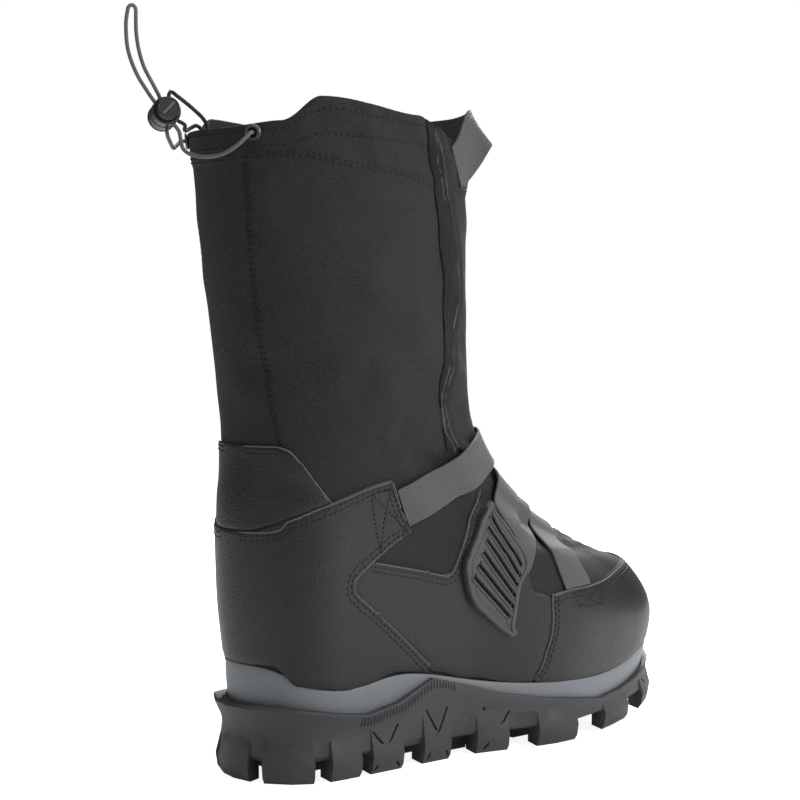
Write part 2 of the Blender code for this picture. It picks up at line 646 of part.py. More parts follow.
# How far cutters reach sideways, over the middle and past the sole's rim, and webbing's rays outwards.
WIDE = 0.2
FLAP_OVERLAP = 0.002
RIM_REACH = 0.004
CAST_REACH = 0.03
# Levels of the upper that the panels' skins are cut from.
FOOT_LEVELS = (0.6, 9.0)
PATCH_LEVELS = (3.0, 10.4)
TOE_LEVELS = (0.6, 5.9)
FLAP_LEVELS = (6.5, TOP)


def route_points(table):
    return [Vector((x * FOOT_LENGTH - HEEL_SETBACK, y * BALL_WIDTH, z * INSTEP_HEIGHT)) for x, y, z in table]


def smooth_route(points, count):
    """Evenly spaced points on a smooth curve through a route's own points."""
    ends = [2.0 * points[0] - points[1]] + points + [2.0 * points[-1] - points[-2]]
    fine = []
    for index in range(len(points) - 1):
        fine.extend(catmull(*ends[index:index + 4], step / 12.0) for step in range(12))
    fine.append(points[-1].copy())
    lengths = [0.0]
    for before, after in zip(fine, fine[1:]):
        lengths.append(lengths[-1] + (after - before).length)
    even = []
    for index in range(count):
        target = lengths[-1] * index / (count - 1)
        spot = next(i for i in range(1, len(fine)) if lengths[i] >= target - 1e-9)
        share = (target - lengths[spot - 1]) / (lengths[spot] - lengths[spot - 1])
        even.append(fine[spot - 1].lerp(fine[spot], share))
    return even


def smooth_upper_tree():
    """Search tree over a fine copy of the upper's outer face."""
    turns, levels = 96, 70
    points = [upper_point(turn / turns, TOP * level / (levels - 1))
              for level in range(levels) for turn in range(turns)]
    faces = []
    for level in range(levels - 1):
        for turn in range(turns):
            low, following = level * turns + turn, level * turns + (turn + 1) % turns
            faces.append((low, following, following + turns, low + turns))
    return BVHTree.FromPolygons(points, faces)


def tree_of(items):
    """Search tree over the finished faces of some objects."""
    bpy.context.view_layer.update()
    graph = bpy.context.evaluated_depsgraph_get()
    points, faces = [], []
    for item in items:
        made = item.evaluated_get(graph).to_mesh()
        start = len(points)
        points.extend(item.matrix_world @ vert.co for vert in made.vertices)
        faces.extend(tuple(start + index for index in face.vertices) for face in made.polygons)
    return BVHTree.FromPolygons(points, faces)


def averaged(grid, combine):
    """Each cell of a grid combined with its neighbours."""
    rows, columns = len(grid), len(grid[0])
    result = []
    for i in range(rows):
        line = []
        for j in range(columns):
            near = [grid[a][b] for a in range(max(i - 1, 0), min(i + 2, rows))
                    for b in range(max(j - 1, 0), min(j + 2, columns))]
            line.append(combine(near))
        result.append(line)
    return result


def mean(values):
    total = values[0] * 0.0
    for value in values:
        total = total + value
    return total * (1.0 / len(values))


def drape(name, route, base, carriers, collection, paint, stations=18, across=4):
    """Flat webbing along a route, laid on the upper and on whatever it crosses."""
    skin = tree_of(carriers)
    rows, columns = 2 * stations - 1, 2 * across - 1
    centres = [base.find_nearest(point)[:2] for point in smooth_route(route, rows)]
    spots, normals, heights = [], [], []
    for index, (seat, normal) in enumerate(centres):
        along = centres[min(index + 2, rows - 1)][0] - centres[max(index - 2, 0)][0]
        side = normal.cross(along).normalized() * WEBBING_WIDTH
        found = [base.find_nearest(seat + side * (column / (columns - 1) - 0.5))[:2]
                 for column in range(columns)]
        spots.append([spot for spot, _ in found])
        normals.append([outward for _, outward in found])
        casts = [skin.ray_cast(spot + outward * CAST_REACH, -outward, CAST_REACH + 0.002)
                 for spot, outward in found]
        heights.append([CAST_REACH - cast[3] if cast[0] else 0.0 for cast in casts])
    normals = averaged(averaged(normals, mean), mean)
    heights = averaged(heights, max)
    raised = averaged(averaged(averaged(averaged(heights, max), max), mean), mean)
    rings = []
    for i in range(0, rows, 2):
        under, over = [], []
        for j in range(0, columns, 2):
            normal = normals[i][j].normalized()
            point = spots[i][j] + normal * (max(heights[i][j], raised[i][j]) + WEBBING_LIFT)
            under.append(point)
            over.append(point + normal * WEBBING_THICKNESS)
        rings.append(under + over[::-1])
    return ribbon(name, rings, collection, paint)


def ribbon(name, rings, collection, paint):
    mesh = bmesh.new()
    rows = [[mesh.verts.new(point) for point in ring] for ring in rings]
    for low, high in zip(rows, rows[1:]):
        for index in range(len(low)):
            following = (index + 1) % len(low)
            mesh.faces.new((low[index], low[following], high[following], high[index]))
    for ring in (rows[0], rows[-1]):
        for index in range(len(ring) // 2 - 1):
            mesh.faces.new((ring[index], ring[index + 1], ring[-index - 2], ring[-index - 1]))
    bmesh.ops.recalc_face_normals(mesh, faces=mesh.faces)
    return finish(name, mesh, collection, paint)


def tube(name, points, diameter, collection, paint, closed=False):
    """Round bar along points, as a curve with filled ends."""
    data = bpy.data.curves.new(name, "CURVE")
    data.dimensions = "3D"
    data.bevel_depth = 0.5 * diameter
    data.bevel_resolution = 2
    data.use_fill_caps = not closed
    spline = data.splines.new("POLY")
    spline.points.add(len(points) - 1)
    for spot, point in zip(spline.points, points):
        spot.co = (*point, 1.0)
    spline.use_cyclic_u = closed
    data.materials.append(paint)
    made = bpy.data.objects.new(name, data)
    collection.objects.link(made)
    return made


def make_ring(name, centre, along, normal, collection, paint):
    """Oblong wire ring that webbing turns in, lying along the surface."""
    side = normal.cross(along).normalized()
    half_long, half_deep = 0.5 * WEBBING_WIDTH + 0.6 * RING_WIRE, 0.5 * RING_DEPTH
    points = []
    for across, deep, turn in ((1, 1, 0), (-1, 1, 1), (-1, -1, 2), (1, -1, 3)):
        for step in range(3):
            angle = math.radians(90.0 * turn + 45.0 * step)
            across_by = across * (half_long - RING_CORNER) + RING_CORNER * math.cos(angle)
            deep_by = deep * (half_deep - RING_CORNER) + RING_CORNER * math.sin(angle)
            points.append(centre + side * across_by + along * deep_by)
    return tube(name, points, RING_WIRE, collection, paint, closed=True)


def make_pull_tab(collection, tools, paint):
    """Moulded tab on the outer side with slanting slots through it."""
    under = PATCH_FACE + CLEARANCE
    tab = shell("pull_tab", under, under + TAB_THICKNESS, FOOT_LEVELS, collection, paint)
    boolean(tab, prism("tab_outline", side_points(PULL_TAB), -WIDE, 0.0, tools), "INTERSECT")
    mesh = bmesh.new()
    for index in range(TAB_SLOTS):
        share = index / (TAB_SLOTS - 1)
        first, last = (side_points(ends) for ends in (FIRST_SLOT, LAST_SLOT))
        top, foot = (Vector(a).lerp(Vector(b), share) for a, b in zip(first, last))
        way = (foot - top).normalized()
        out = Vector((-way.y, way.x)) * 0.5 * SLOT_WIDTH
        outline = (top - out, foot - out, foot + out, top + out)
        add_block(mesh, [[Vector((corner.x, y, corner.y)) for corner in outline] for y in (-WIDE, 0.0)])
    bmesh.ops.recalc_face_normals(mesh, faces=mesh.faces)
    boolean(tab, cutter(finish("slot_blocks", mesh, tools, None)), "DIFFERENCE")


# Eyelets on the collar's back, as turns of the upper and a level, and the cord lock behind them.
EYELET_LEVEL = 13.76
EYELETS = (("near", 0.083), ("far", 0.925))
LOCK_CENTRE = Vector((-0.0799, 0.0078, 0.3714))
LOCK_AXIS = Vector((-0.322, -0.923, 0.210)).normalized()
LOCK_DOWN = (Vector((0.0, 0.0, -1.0)) + LOCK_AXIS * LOCK_AXIS.z).normalized()
LOCK_ACROSS = LOCK_AXIS.cross(LOCK_DOWN)
BORE_DEPTH = 0.0110
BORE_OVERRUN = 0.005


def eyelet_seat(turn):
    """Point of the collar's face under an eyelet, and the way out from it."""
    seat = upper_point(turn, EYELET_LEVEL)
    return seat, (upper_offset(turn, EYELET_LEVEL, 1.0) - seat).normalized()


def make_eyelet(name, turn, collection, paint):
    seat, outward = eyelet_seat(turn)
    bpy.ops.mesh.primitive_torus_add(
        major_radius=EYELET_RADIUS, minor_radius=EYELET_WIRE, major_segments=16, minor_segments=6,
        location=seat + outward * (EYELET_WIRE + 2.0 * CLEARANCE),
        rotation=outward.to_track_quat("Z", "Y").to_euler())
    return adopt(bpy.context.object, name, collection, paint)


def adopt(item, name, collection, paint):
    """Name a primitive and move it to its collection."""
    item.name = name
    for other in list(item.users_collection):
        other.objects.unlink(item)
    collection.objects.link(item)
    if paint:
        item.data.materials.append(paint)
    return item


def cylinder(name, radius, start, stop, collection, paint, sides=20):
    """Cylinder along the lock's axis, between two distances from its centre."""
    bpy.ops.mesh.primitive_cylinder_add(
        vertices=sides, radius=radius, depth=stop - start, location=LOCK_CENTRE + LOCK_AXIS * 0.5 * (start + stop),
        rotation=LOCK_AXIS.to_track_quat("Z", "Y").to_euler())
    return adopt(bpy.context.object, name, collection, paint)


def make_lock(collection, tools, paint):
    """Cord lock: a barrel with a blind bore, and the sprung button that slides in it."""
    half = 0.5 * BARREL_LENGTH
    barrel = cylinder("lock_barrel", BARREL_RADIUS, -half, half, collection, paint)
    bore = cylinder("lock_bore", BUTTON_RADIUS + BORE_CLEARANCE, half - BORE_DEPTH, half + BORE_OVERRUN, tools, None)
    boolean(barrel, cutter(bore), "DIFFERENCE")
    button_foot = half - BORE_DEPTH + BUTTON_TRAVEL + CLEARANCE
    cylinder("lock_button", BUTTON_RADIUS, button_foot, half + BUTTON_REACH, collection, paint)


def lock_exit(degrees, along, reach=0.0):
    """Point outside the barrel where a cord leaves it, turned from straight down."""
    turned = math.radians(degrees)
    out = LOCK_DOWN * math.cos(turned) + LOCK_ACROSS * math.sin(turned)
    return LOCK_CENTRE + out * (BARREL_RADIUS + CLEARANCE + reach) + LOCK_AXIS * along


def inside_collar(turn, level):
    """Point for a cord that lies against the collar's inner face."""
    return upper_offset(turn, level, -UPPER_WALL - 0.5 * CORD_DIAMETER - CLEARANCE)


# Loop over the lock, in the upright plane of the picture: sideways shift and height.
LOOP_ROUTE = ((-0.0135, 0.3908), (-0.0183, 0.4019), (-0.0202, 0.4113), (-0.0205, 0.4213),
              (-0.0196, 0.4275), (-0.0190, 0.4295), (-0.0173, 0.4307), (-0.0156, 0.4295), (-0.0151, 0.4275),
              (-0.0150, 0.4172), (-0.0138, 0.4073), (-0.0107, 0.3967), (-0.0063, 0.3883))
LOOP_SIDEWAYS = Vector((0.777, -0.629, 0.0))


def cord_routes():
    """Routes of the elastic drawcord: two strands, the loop over the lock and two tethers."""
    near, near_out = eyelet_seat(EYELETS[0][1])
    far, far_out = eyelet_seat(EYELETS[1][1])
    start = 2.0 * CLEARANCE
    loop = [Vector((LOCK_CENTRE.x, LOCK_CENTRE.y, height)) + LOOP_SIDEWAYS * shift
            for shift, height in LOOP_ROUTE]
    return {
        "cord_near": [near + near_out * start, near + near_out * CORD_LIFT, Vector((-0.0580, -0.0325, 0.3540)),
                      Vector((-0.0628, -0.0262, 0.3492)), Vector((-0.0665, -0.0170, 0.3475)),
                      Vector((-0.0706, -0.0072, 0.3486)), Vector((-0.0735, -0.0010, 0.3525)),
                      lock_exit(34.0, 0.003, 0.005), lock_exit(34.0, 0.003)],
        "cord_far": [far + far_out * start, far + far_out * CORD_LIFT, Vector((-0.0620, 0.0250, 0.3555)),
                     Vector((-0.0690, 0.0165, 0.3545)), lock_exit(8.0, -0.001, 0.005), lock_exit(8.0, -0.001)],
        "cord_loop": [lock_exit(213.0, -0.001), lock_exit(213.0, -0.001, 0.003)] + loop
                     + [lock_exit(191.0, -0.001, 0.003), lock_exit(191.0, -0.001)],
        "tether_upper": [lock_exit(165.0, 0.003), lock_exit(165.0, 0.003, 0.0045),
                         Vector((-0.0735, 0.0040, 0.3812)),
                         Vector((-0.0670, 0.0045, 0.3775)), Vector((-0.0595, 0.0048, 0.3725)),
                         Vector((-0.0543, 0.0045, 0.3670)), inside_collar(0.989, 13.7), inside_collar(0.989, 13.3),
                         inside_collar(0.989, 12.95)],
        "tether_lower": [lock_exit(62.0, 0.001), lock_exit(62.0, 0.001, 0.0045),
                         Vector((-0.0670, 0.0075, 0.3630)),
                         Vector((-0.0622, 0.0100, 0.3645)), Vector((-0.0572, 0.0115, 0.3668)),
                         Vector((-0.0530, 0.0118, 0.3650)), inside_collar(0.968, 13.6), inside_collar(0.968, 13.25),
                         inside_collar(0.968, 12.9)],
    }


def make_cords(collection, paint):
    for name, points in cord_routes().items():
        if name == "cord_loop":
            fine = halved(points)
        else:
            length = sum((b - a).length for a, b in zip(points, points[1:]))
            fine = smooth_route(points, round(length / (CORD_STEP * CORD_DIAMETER)))
        tube(name, fine, CORD_DIAMETER, collection, paint)


def halved(points):
    """A route's own points and one more on the smooth curve between each two."""
    ends = [2.0 * points[0] - points[1]] + points + [2.0 * points[-1] - points[-2]]
    made = []
    for index in range(len(points) - 1):
        made.append(points[index])
        made.append(catmull(*ends[index:index + 4], 0.5))
    return made + [points[-1]]


def make_pull_loop(base, collection, paint):
    """Webbing loop that stands off the front flap and lies on it at both ends."""
    size = Vector((SHAFT_DEPTH, SHAFT_WIDTH, SHAFT_HEIGHT))
    origin = Vector((-HEEL_SETBACK, 0.0, INSTEP_HEIGHT))
    stations, across, least = 17, 4, FLAP_FACE + WEBBING_LIFT
    high = smooth_route([origin + Vector(row[:3]) * size for row in PULL_LOOP], stations)
    low = smooth_route([origin + Vector(row[3:]) * size for row in PULL_LOOP], stations)
    middle = [a.lerp(b, 0.5) for a, b in zip(high, low)]
    rings = []
    for index in range(stations):
        along = middle[min(index + 1, stations - 1)] - middle[max(index - 1, 0)]
        outward = (high[index] - low[index]).cross(along).normalized()
        on_flap = min(index, stations - 1 - index) < 2
        under, over = [], []
        for column in range(across):
            point = high[index].lerp(low[index], column / (across - 1))
            seat, normal = base.find_nearest(point)[:2]
            if outward.dot(normal) < 0.0:
                outward = -outward
            if on_flap or (point - seat).dot(normal) < least:
                point = seat + normal * least
            under.append(point)
            over.append(point + (normal if on_flap else outward) * WEBBING_THICKNESS)
        rings.append(under + over[::-1])
    return ribbon("pull_loop", rings, collection, paint)


def add_ring_and_keeper(name, route, base, under, collection, steel, webbing):
    """Ring at a strap's inner end, and the short webbing that holds it."""
    skin = tree_of(under)
    along = (route[0] - route[1]).normalized()
    seat, normal = base.find_nearest(route[0] + along * (0.5 * RING_DEPTH + 0.5 * RING_WIRE + 0.001))[:2]
    along = (along - normal * along.dot(normal)).normalized()
    side = normal.cross(along).normalized()
    height = 0.0
    for across in (-0.6, -0.3, 0.0, 0.3, 0.6):
        for deep in (-0.6, 0.0, 0.6):
            spot = seat + side * WEBBING_WIDTH * across + along * RING_DEPTH * deep
            hit = skin.ray_cast(spot + normal * 0.02, -normal, 0.03)
            if hit[0]:
                height = max(height, 0.02 - hit[3])
    centre = seat + normal * (height + 0.5 * RING_WIRE + CLEARANCE)
    make_ring("ring_" + name, centre, along, normal, collection, steel)
    start = seat + along * (0.5 * RING_DEPTH + 0.5 * RING_WIRE + 2.0 * CLEARANCE)
    keeper = [start, start + along * 0.5 * KEEPER_LENGTH, start + along * KEEPER_LENGTH]
    drape("keeper_" + name, keeper, base, under, collection, webbing, stations=5)


def main():
    clear_scene()
    parts = make_collection("winter_overshoe")
    tools = make_collection("cutters")
    textile = material("textile", BLACK, 0.85)
    leatherette = material("leatherette", (0.02, 0.018, 0.017), 0.55)
    rubber_grey = material("rubber_grey", GREY, 0.6)
    rubber_black = material("rubber_black", (0.03, 0.03, 0.032), 0.7)
    felt = material("felt", (0.10, 0.10, 0.10), 0.95)
    webbing = material("webbing", (0.09, 0.088, 0.088), 0.75)
    steel = material("steel", (0.25, 0.25, 0.26), 0.35, 1.0)
    plastic = material("plastic", (0.02, 0.02, 0.021), 0.4)
    cord = material("cord", (0.05, 0.05, 0.052), 0.7)

    make_upper(parts, textile)
    make_insole(parts, felt)
    make_midsole(parts, rubber_grey)
    make_outsole(parts, tools, rubber_black)

    heel_outline = side_points(HEEL_TAB + ((0.345, 0.0), (-0.20, 0.0)))
    toe_outline = side_points(TOE_CAP + ((1.20, 0.0), (0.566, 0.0)) + TOE_CAP_REAR)
    quarter_outline = side_points(QUARTER + ((0.566, 0.0), (0.10, 0.0)))
    below = sole_room(tools)
    heel_cut = prism("heel_outline", heel_outline, -WIDE, WIDE, tools)
    heel_room = prism("heel_room", grown(heel_outline, CLEARANCE), -WIDE, WIDE, tools)
    toe_cut = prism("toe_outline", toe_outline, -WIDE, WIDE, tools)
    toe_room = prism("toe_room", grown(toe_outline, CLEARANCE), -WIDE, WIDE, tools)

    heel_panel = shell("heel_panel", CLEARANCE, HEEL_PANEL_FACE, FOOT_LEVELS, parts, leatherette)
    boolean(heel_panel, heel_cut, "INTERSECT")
    boolean(heel_panel, below, "DIFFERENCE")
    patch = shell("ankle_patch", CLEARANCE, PATCH_FACE, PATCH_LEVELS, parts, leatherette)
    boolean(patch, prism("patch_outline", side_points(ANKLE_PATCH), -WIDE, WIDE, tools), "INTERSECT")
    boolean(patch, heel_room, "DIFFERENCE")
    toe_cap = shell("toe_cap", CLEARANCE, TOE_CAP_FACE, TOE_LEVELS, parts, leatherette)
    boolean(toe_cap, toe_cut, "INTERSECT")
    boolean(toe_cap, below, "DIFFERENCE")
    for side, low, high in (("outer", -WIDE, 0.0), ("inner", 0.0, WIDE)):
        quarter = shell("quarter_" + side, CLEARANCE, PATCH_FACE, FOOT_LEVELS, parts, leatherette)
        boolean(quarter, prism("quarter_outline_" + side, quarter_outline, low, high, tools), "INTERSECT")
        boolean(quarter, heel_room, "DIFFERENCE")
        boolean(quarter, toe_room, "DIFFERENCE")
        boolean(quarter, below, "DIFFERENCE")
    flap = shell("front_flap", CLEARANCE, FLAP_FACE, FLAP_LEVELS, parts, textile)
    boolean(flap, prism("flap_back_outer", side_points(FLAP_EDGE_OUTER), -WIDE, FLAP_OVERLAP, tools), "DIFFERENCE")
    boolean(flap, prism("flap_back_inner", side_points(FLAP_EDGE_INNER), 0.0, WIDE, tools), "DIFFERENCE")
    make_pull_tab(parts, tools, rubber_black)
    tab_room = prism("tab_room", grown(side_points(PULL_TAB), CLEARANCE), -WIDE, 0.0, tools)
    heel_side = prism("heel_side_room", grown(heel_outline, CLEARANCE), -WIDE, 0.0, tools)
    toe_side = prism("toe_side_room", grown(toe_outline, CLEARANCE), -WIDE, 0.0, tools)

    base = smooth_upper_tree()
    under = [parts.objects[name] for name in ("upper", "front_flap", "quarter_outer", "quarter_inner")]
    for name, table, room in (
            ("strap_toe", STRAP_TOE, toe_side), ("strap_lower_leg", STRAP_LOWER_LEG, tab_room),
            ("strap_upper_leg", STRAP_UPPER_LEG, tab_room), ("strap_ankle", STRAP_ANKLE, heel_side)):
        strap = drape(name, route_points(table), base, under, parts, webbing)
        boolean(strap, room, "DIFFERENCE")
        under.append(strap)
    for name, table in (("upper", STRAP_ANKLE), ("lower", STRAP_LOWER_LEG)):
        add_ring_and_keeper(name, route_points(table), base, under, parts, steel, webbing)
    make_pull_loop(base, parts, webbing)
    for side, turn in EYELETS:
        make_eyelet("eyelet_" + side, turn, parts, steel)
    make_lock(parts, tools, plastic)
    make_cords(parts, cord)


main()
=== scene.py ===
"""Looks of the tall winter overshoe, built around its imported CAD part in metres.

The shaft and foot follow the same tilted sections as the part, at a finer step, so cloth, panels
and webbing lie on one smooth body. Everything is in the part's own frame.
"""
import math
from collections import namedtuple

import bmesh
import bpy
import numpy as np
from mathutils import Matrix, Vector
from mathutils.bvhtree import BVHTree


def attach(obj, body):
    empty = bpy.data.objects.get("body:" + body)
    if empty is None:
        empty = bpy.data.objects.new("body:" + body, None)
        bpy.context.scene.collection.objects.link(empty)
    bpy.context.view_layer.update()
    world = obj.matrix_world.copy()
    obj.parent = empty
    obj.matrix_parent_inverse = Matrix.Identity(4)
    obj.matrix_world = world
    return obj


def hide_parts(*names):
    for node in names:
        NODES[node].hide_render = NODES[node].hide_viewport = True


bl_info = {
    "name": "Winter Overshoe Looks",
    "version": (1, 0, 0),
    "blender": (4, 5, 0),
    "location": "View3D > Sidebar > Overshoe",
    "description": "Cloth, panels, webbing, rubber and light of a tall winter overshoe",
    "category": "Object",
}

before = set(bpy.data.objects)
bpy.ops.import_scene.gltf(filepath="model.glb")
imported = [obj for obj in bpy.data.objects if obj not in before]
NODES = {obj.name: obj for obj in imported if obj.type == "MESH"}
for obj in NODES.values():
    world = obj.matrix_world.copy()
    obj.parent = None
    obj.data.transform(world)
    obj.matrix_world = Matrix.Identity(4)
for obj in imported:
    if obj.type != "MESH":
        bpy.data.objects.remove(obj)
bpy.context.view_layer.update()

# The part's own sizes, repeated here in metres.
FOOT_LENGTH, HEEL_SETBACK, BALL_WIDTH, HEEL_WIDTH = 0.328, 0.040, 0.118, 0.090
INSTEP_HEIGHT, SHAFT_HEIGHT, SHAFT_DEPTH, SHAFT_WIDTH = 0.170, 0.196, 0.172, 0.126
TOE_SWING, UPPER_WALL, HEEL_BED, BALL_BED = 0.009, 0.0025, 0.033, 0.0245
HEEL_PANEL_FACE, TOE_CAP_FACE, PATCH_FACE, FLAP_FACE = 0.0023, 0.0019, 0.0015, 0.0032
WEBBING_WIDTH, WEBBING_THICKNESS, WEBBING_LIFT, CLEARANCE = 0.025, 0.0015, 0.0006, 0.0003
TREAD_DEPTH, TOE_SPRING, SPRING_START, PANEL_LIFT = 0.012, 0.0125, 0.58, 0.0009
CORD_DIAMETER = 0.0022
LOCK_CENTRE = Vector((-0.0799, 0.0078, 0.3714))
LOCK_AXIS = Vector((-0.32205, -0.92313, 0.21003)).normalized()

FOOT_SECTIONS = (
    (0.018, 0.190, 0.966, 0.210, 0.400, 0.300, 0.415, 0.365, 0.115, 0.220),
    (0.010, 0.360, 0.984, 0.305, 0.450, 0.338, 0.458, 0.404, 0.125, 0.225),
    (0.000, 0.560, 0.990, 0.400, 0.495, 0.375, 0.485, 0.420, 0.130, 0.230),
    (-0.005, 0.720, 0.973, 0.490, 0.500, 0.385, 0.462, 0.370, 0.140, 0.230),
    (-0.008, 0.825, 0.922, 0.590, 0.500, 0.390, 0.412, 0.300, 0.160, 0.240),
    (-0.008, 0.885, 0.845, 0.642, 0.500, 0.395, 0.365, 0.240, 0.180, 0.280),
    (-0.006, 0.945, 0.765, 0.706, 0.505, 0.405, 0.345, 0.215, 0.200, 0.300),
    (-0.003, 1.000, 0.688, 0.772, 0.515, 0.420, 0.350, 0.240, 0.240, 0.320),
)
SHAFT_SECTIONS = (
    (0.000, 0.060, 1.140, -0.100, 0.395, 0.415, 0.360, 0.285, 0.300, 0.360),
    (0.000, 0.130, 1.000, 0.025, 0.425, 0.435, 0.410, 0.370, 0.380, 0.430),
    (-0.005, 0.215, 0.915, 0.155, 0.455, 0.460, 0.445, 0.425, 0.460, 0.480),
    (-0.030, 0.385, 0.880, 0.360, 0.475, 0.478, 0.473, 0.465, 0.495, 0.495),
    (-0.067, 0.640, 0.880, 0.615, 0.490, 0.492, 0.490, 0.488, 0.500, 0.500),
    (-0.096, 0.860, 0.875, 0.870, 0.498, 0.500, 0.500, 0.498, 0.500, 0.500),
    (-0.113, 0.985, 0.868, 1.010, 0.500, 0.502, 0.502, 0.500, 0.500, 0.500),
)
STATIONS = (0.12, 0.40, 0.66, 0.86)
COLLAR_EDGE = ((0.0, 0.0, 0.0), (0.13, 0.014, 0.005), (0.24, 0.080, 0.055), (0.60, 0.032, 0.035),
               (0.90, -0.065, 0.015), (1.0, -0.03, -0.03))
# The grey band's top at shares of the sole's length, as shares of HEEL_BED.
BAND_TOP = ((0.0, 1.97), (0.03, 1.99), (0.06, 1.63), (0.09, 1.58), (0.15, 1.48), (0.185, 1.52), (0.25, 1.69),
            (0.34, 1.58), (0.43, 1.36), (0.53, 1.18), (0.63, 1.11), (0.74, 1.08), (0.83, 1.15), (0.91, 1.45),
            (1.0, 1.66))

# Panel outlines in side view, x as a share of FOOT_LENGTH from the heel and z of INSTEP_HEIGHT.
HEEL_TAB = ((-0.20, 0.830), (0.000, 0.833), (0.036, 0.870), (0.075, 0.905), (0.123, 0.937), (0.171, 0.973),
            (0.211, 0.992), (0.220, 0.985), (0.248, 0.886), (0.270, 0.811), (0.239, 0.778), (0.195, 0.724),
            (0.157, 0.672), (0.150, 0.645), (0.156, 0.615), (0.215, 0.525), (0.263, 0.450), (0.330, 0.342))
ANKLE_PATCH = ((-0.20, 1.100), (0.006, 1.114), (0.032, 1.111), (0.044, 1.100), (0.052, 1.080),
               (0.076, 1.006), (0.106, 0.925), (0.140, 0.800), (-0.20, 0.700))
QUARTER = ((0.100, 0.770), (0.195, 0.718), (0.286, 0.679), (0.348, 0.649), (0.364, 0.650), (0.376, 0.678),
           (0.396, 0.765), (0.424, 0.863), (0.450, 0.930), (0.485, 0.900), (0.530, 0.700), (0.548, 0.560),
           (0.588, 0.533), (0.588, 0.429), (0.586, 0.379), (0.575, 0.285), (0.566, 0.255))
TOE_CAP = ((0.588, 0.533), (0.600, 0.545), (0.643, 0.554), (0.713, 0.556), (0.778, 0.565), (0.851, 0.585),
           (0.906, 0.596), (0.960, 0.640), (1.200, 0.640))
TOE_CAP_REAR = ((0.566, 0.255), (0.575, 0.285), (0.586, 0.379), (0.588, 0.429))
FLAP_EDGE_OUTER = ((0.260, 2.600), (0.292, 2.300), (0.299, 2.165), (0.311, 2.055), (0.328, 1.967),
                   (0.353, 1.859), (0.375, 1.740), (0.383, 1.629), (0.372, 1.448), (0.348, 1.317),
                   (0.341, 1.216), (0.347, 1.164), (0.373, 1.086), (0.430, 1.000), (0.560, 0.960))
FLAP_EDGE_INNER = ((0.430, 2.600), (0.440, 1.900), (0.450, 1.400), (0.480, 1.120), (0.560, 0.960))
FLAP_REST = ((0.900, 0.960), (0.900, 0.400), (-0.400, 0.400), (-0.400, 2.600))
HOOK_EDGE = ((0.274, 2.30), (0.271, 2.11), (0.296, 1.935), (0.323, 1.653), (0.335, 1.500), (0.320, 1.318),
             (0.338, 1.076))

# Routes of the webbing from its inner to its outer end: x as a share of FOOT_LENGTH from the heel,
# y of BALL_WIDTH and z of INSTEP_HEIGHT.
STRAPS = (
    ("strap_toe", (
        (0.515, 0.46, 0.610), (0.580, 0.40, 0.700), (0.655, 0.22, 0.790), (0.672, 0.02, 0.800),
        (0.662, -0.14, 0.770), (0.645, -0.27, 0.715), (0.648, -0.40, 0.650), (0.660, -0.45, 0.570),
        (0.668, -0.46, 0.490)
    )),
    ("strap_lower_leg", (
        (0.500, 0.45, 0.640), (0.550, 0.39, 0.740), (0.610, 0.22, 0.840), (0.620, 0.02, 0.880),
        (0.594, -0.16, 0.850), (0.572, -0.24, 0.800), (0.536, -0.36, 0.738), (0.505, -0.42, 0.665)
    )),
    ("strap_upper_leg", (
        (0.398, 0.43, 0.790), (0.450, 0.37, 0.880), (0.530, 0.22, 0.960), (0.580, 0.00, 0.960),
        (0.566, -0.14, 0.920), (0.532, -0.25, 0.856), (0.497, -0.33, 0.805), (0.465, -0.38, 0.740)
    )),
    ("strap_ankle", (
        (0.385, 0.42, 0.800), (0.430, 0.38, 0.900), (0.490, 0.26, 0.990), (0.532, 0.02, 1.060),
        (0.480, -0.22, 1.055), (0.389, -0.39, 1.004), (0.328, -0.41, 0.957), (0.249, -0.42, 0.896),
        (0.190, -0.40, 0.848)
    )),
)

BACK_SEAM = ((-0.050, -0.026, 0.348), (-0.044, -0.024, 0.292), (-0.042, -0.023, 0.271),
             (-0.039, -0.024, 0.250), (-0.036, -0.025, 0.231), (-0.033, -0.026, 0.212),
             (-0.030, -0.029, 0.190))
COLLAR_SEAM = ((-0.057, -0.001, 0.345), (-0.051, -0.023, 0.346), (-0.042, -0.036, 0.347),
               (-0.026, -0.049, 0.347), (-0.012, -0.056, 0.344), (0.004, -0.060, 0.341),
               (0.027, -0.063, 0.339), (0.053, -0.060, 0.334), (0.090, -0.040, 0.331))
COLLAR_FACE = 0.0008

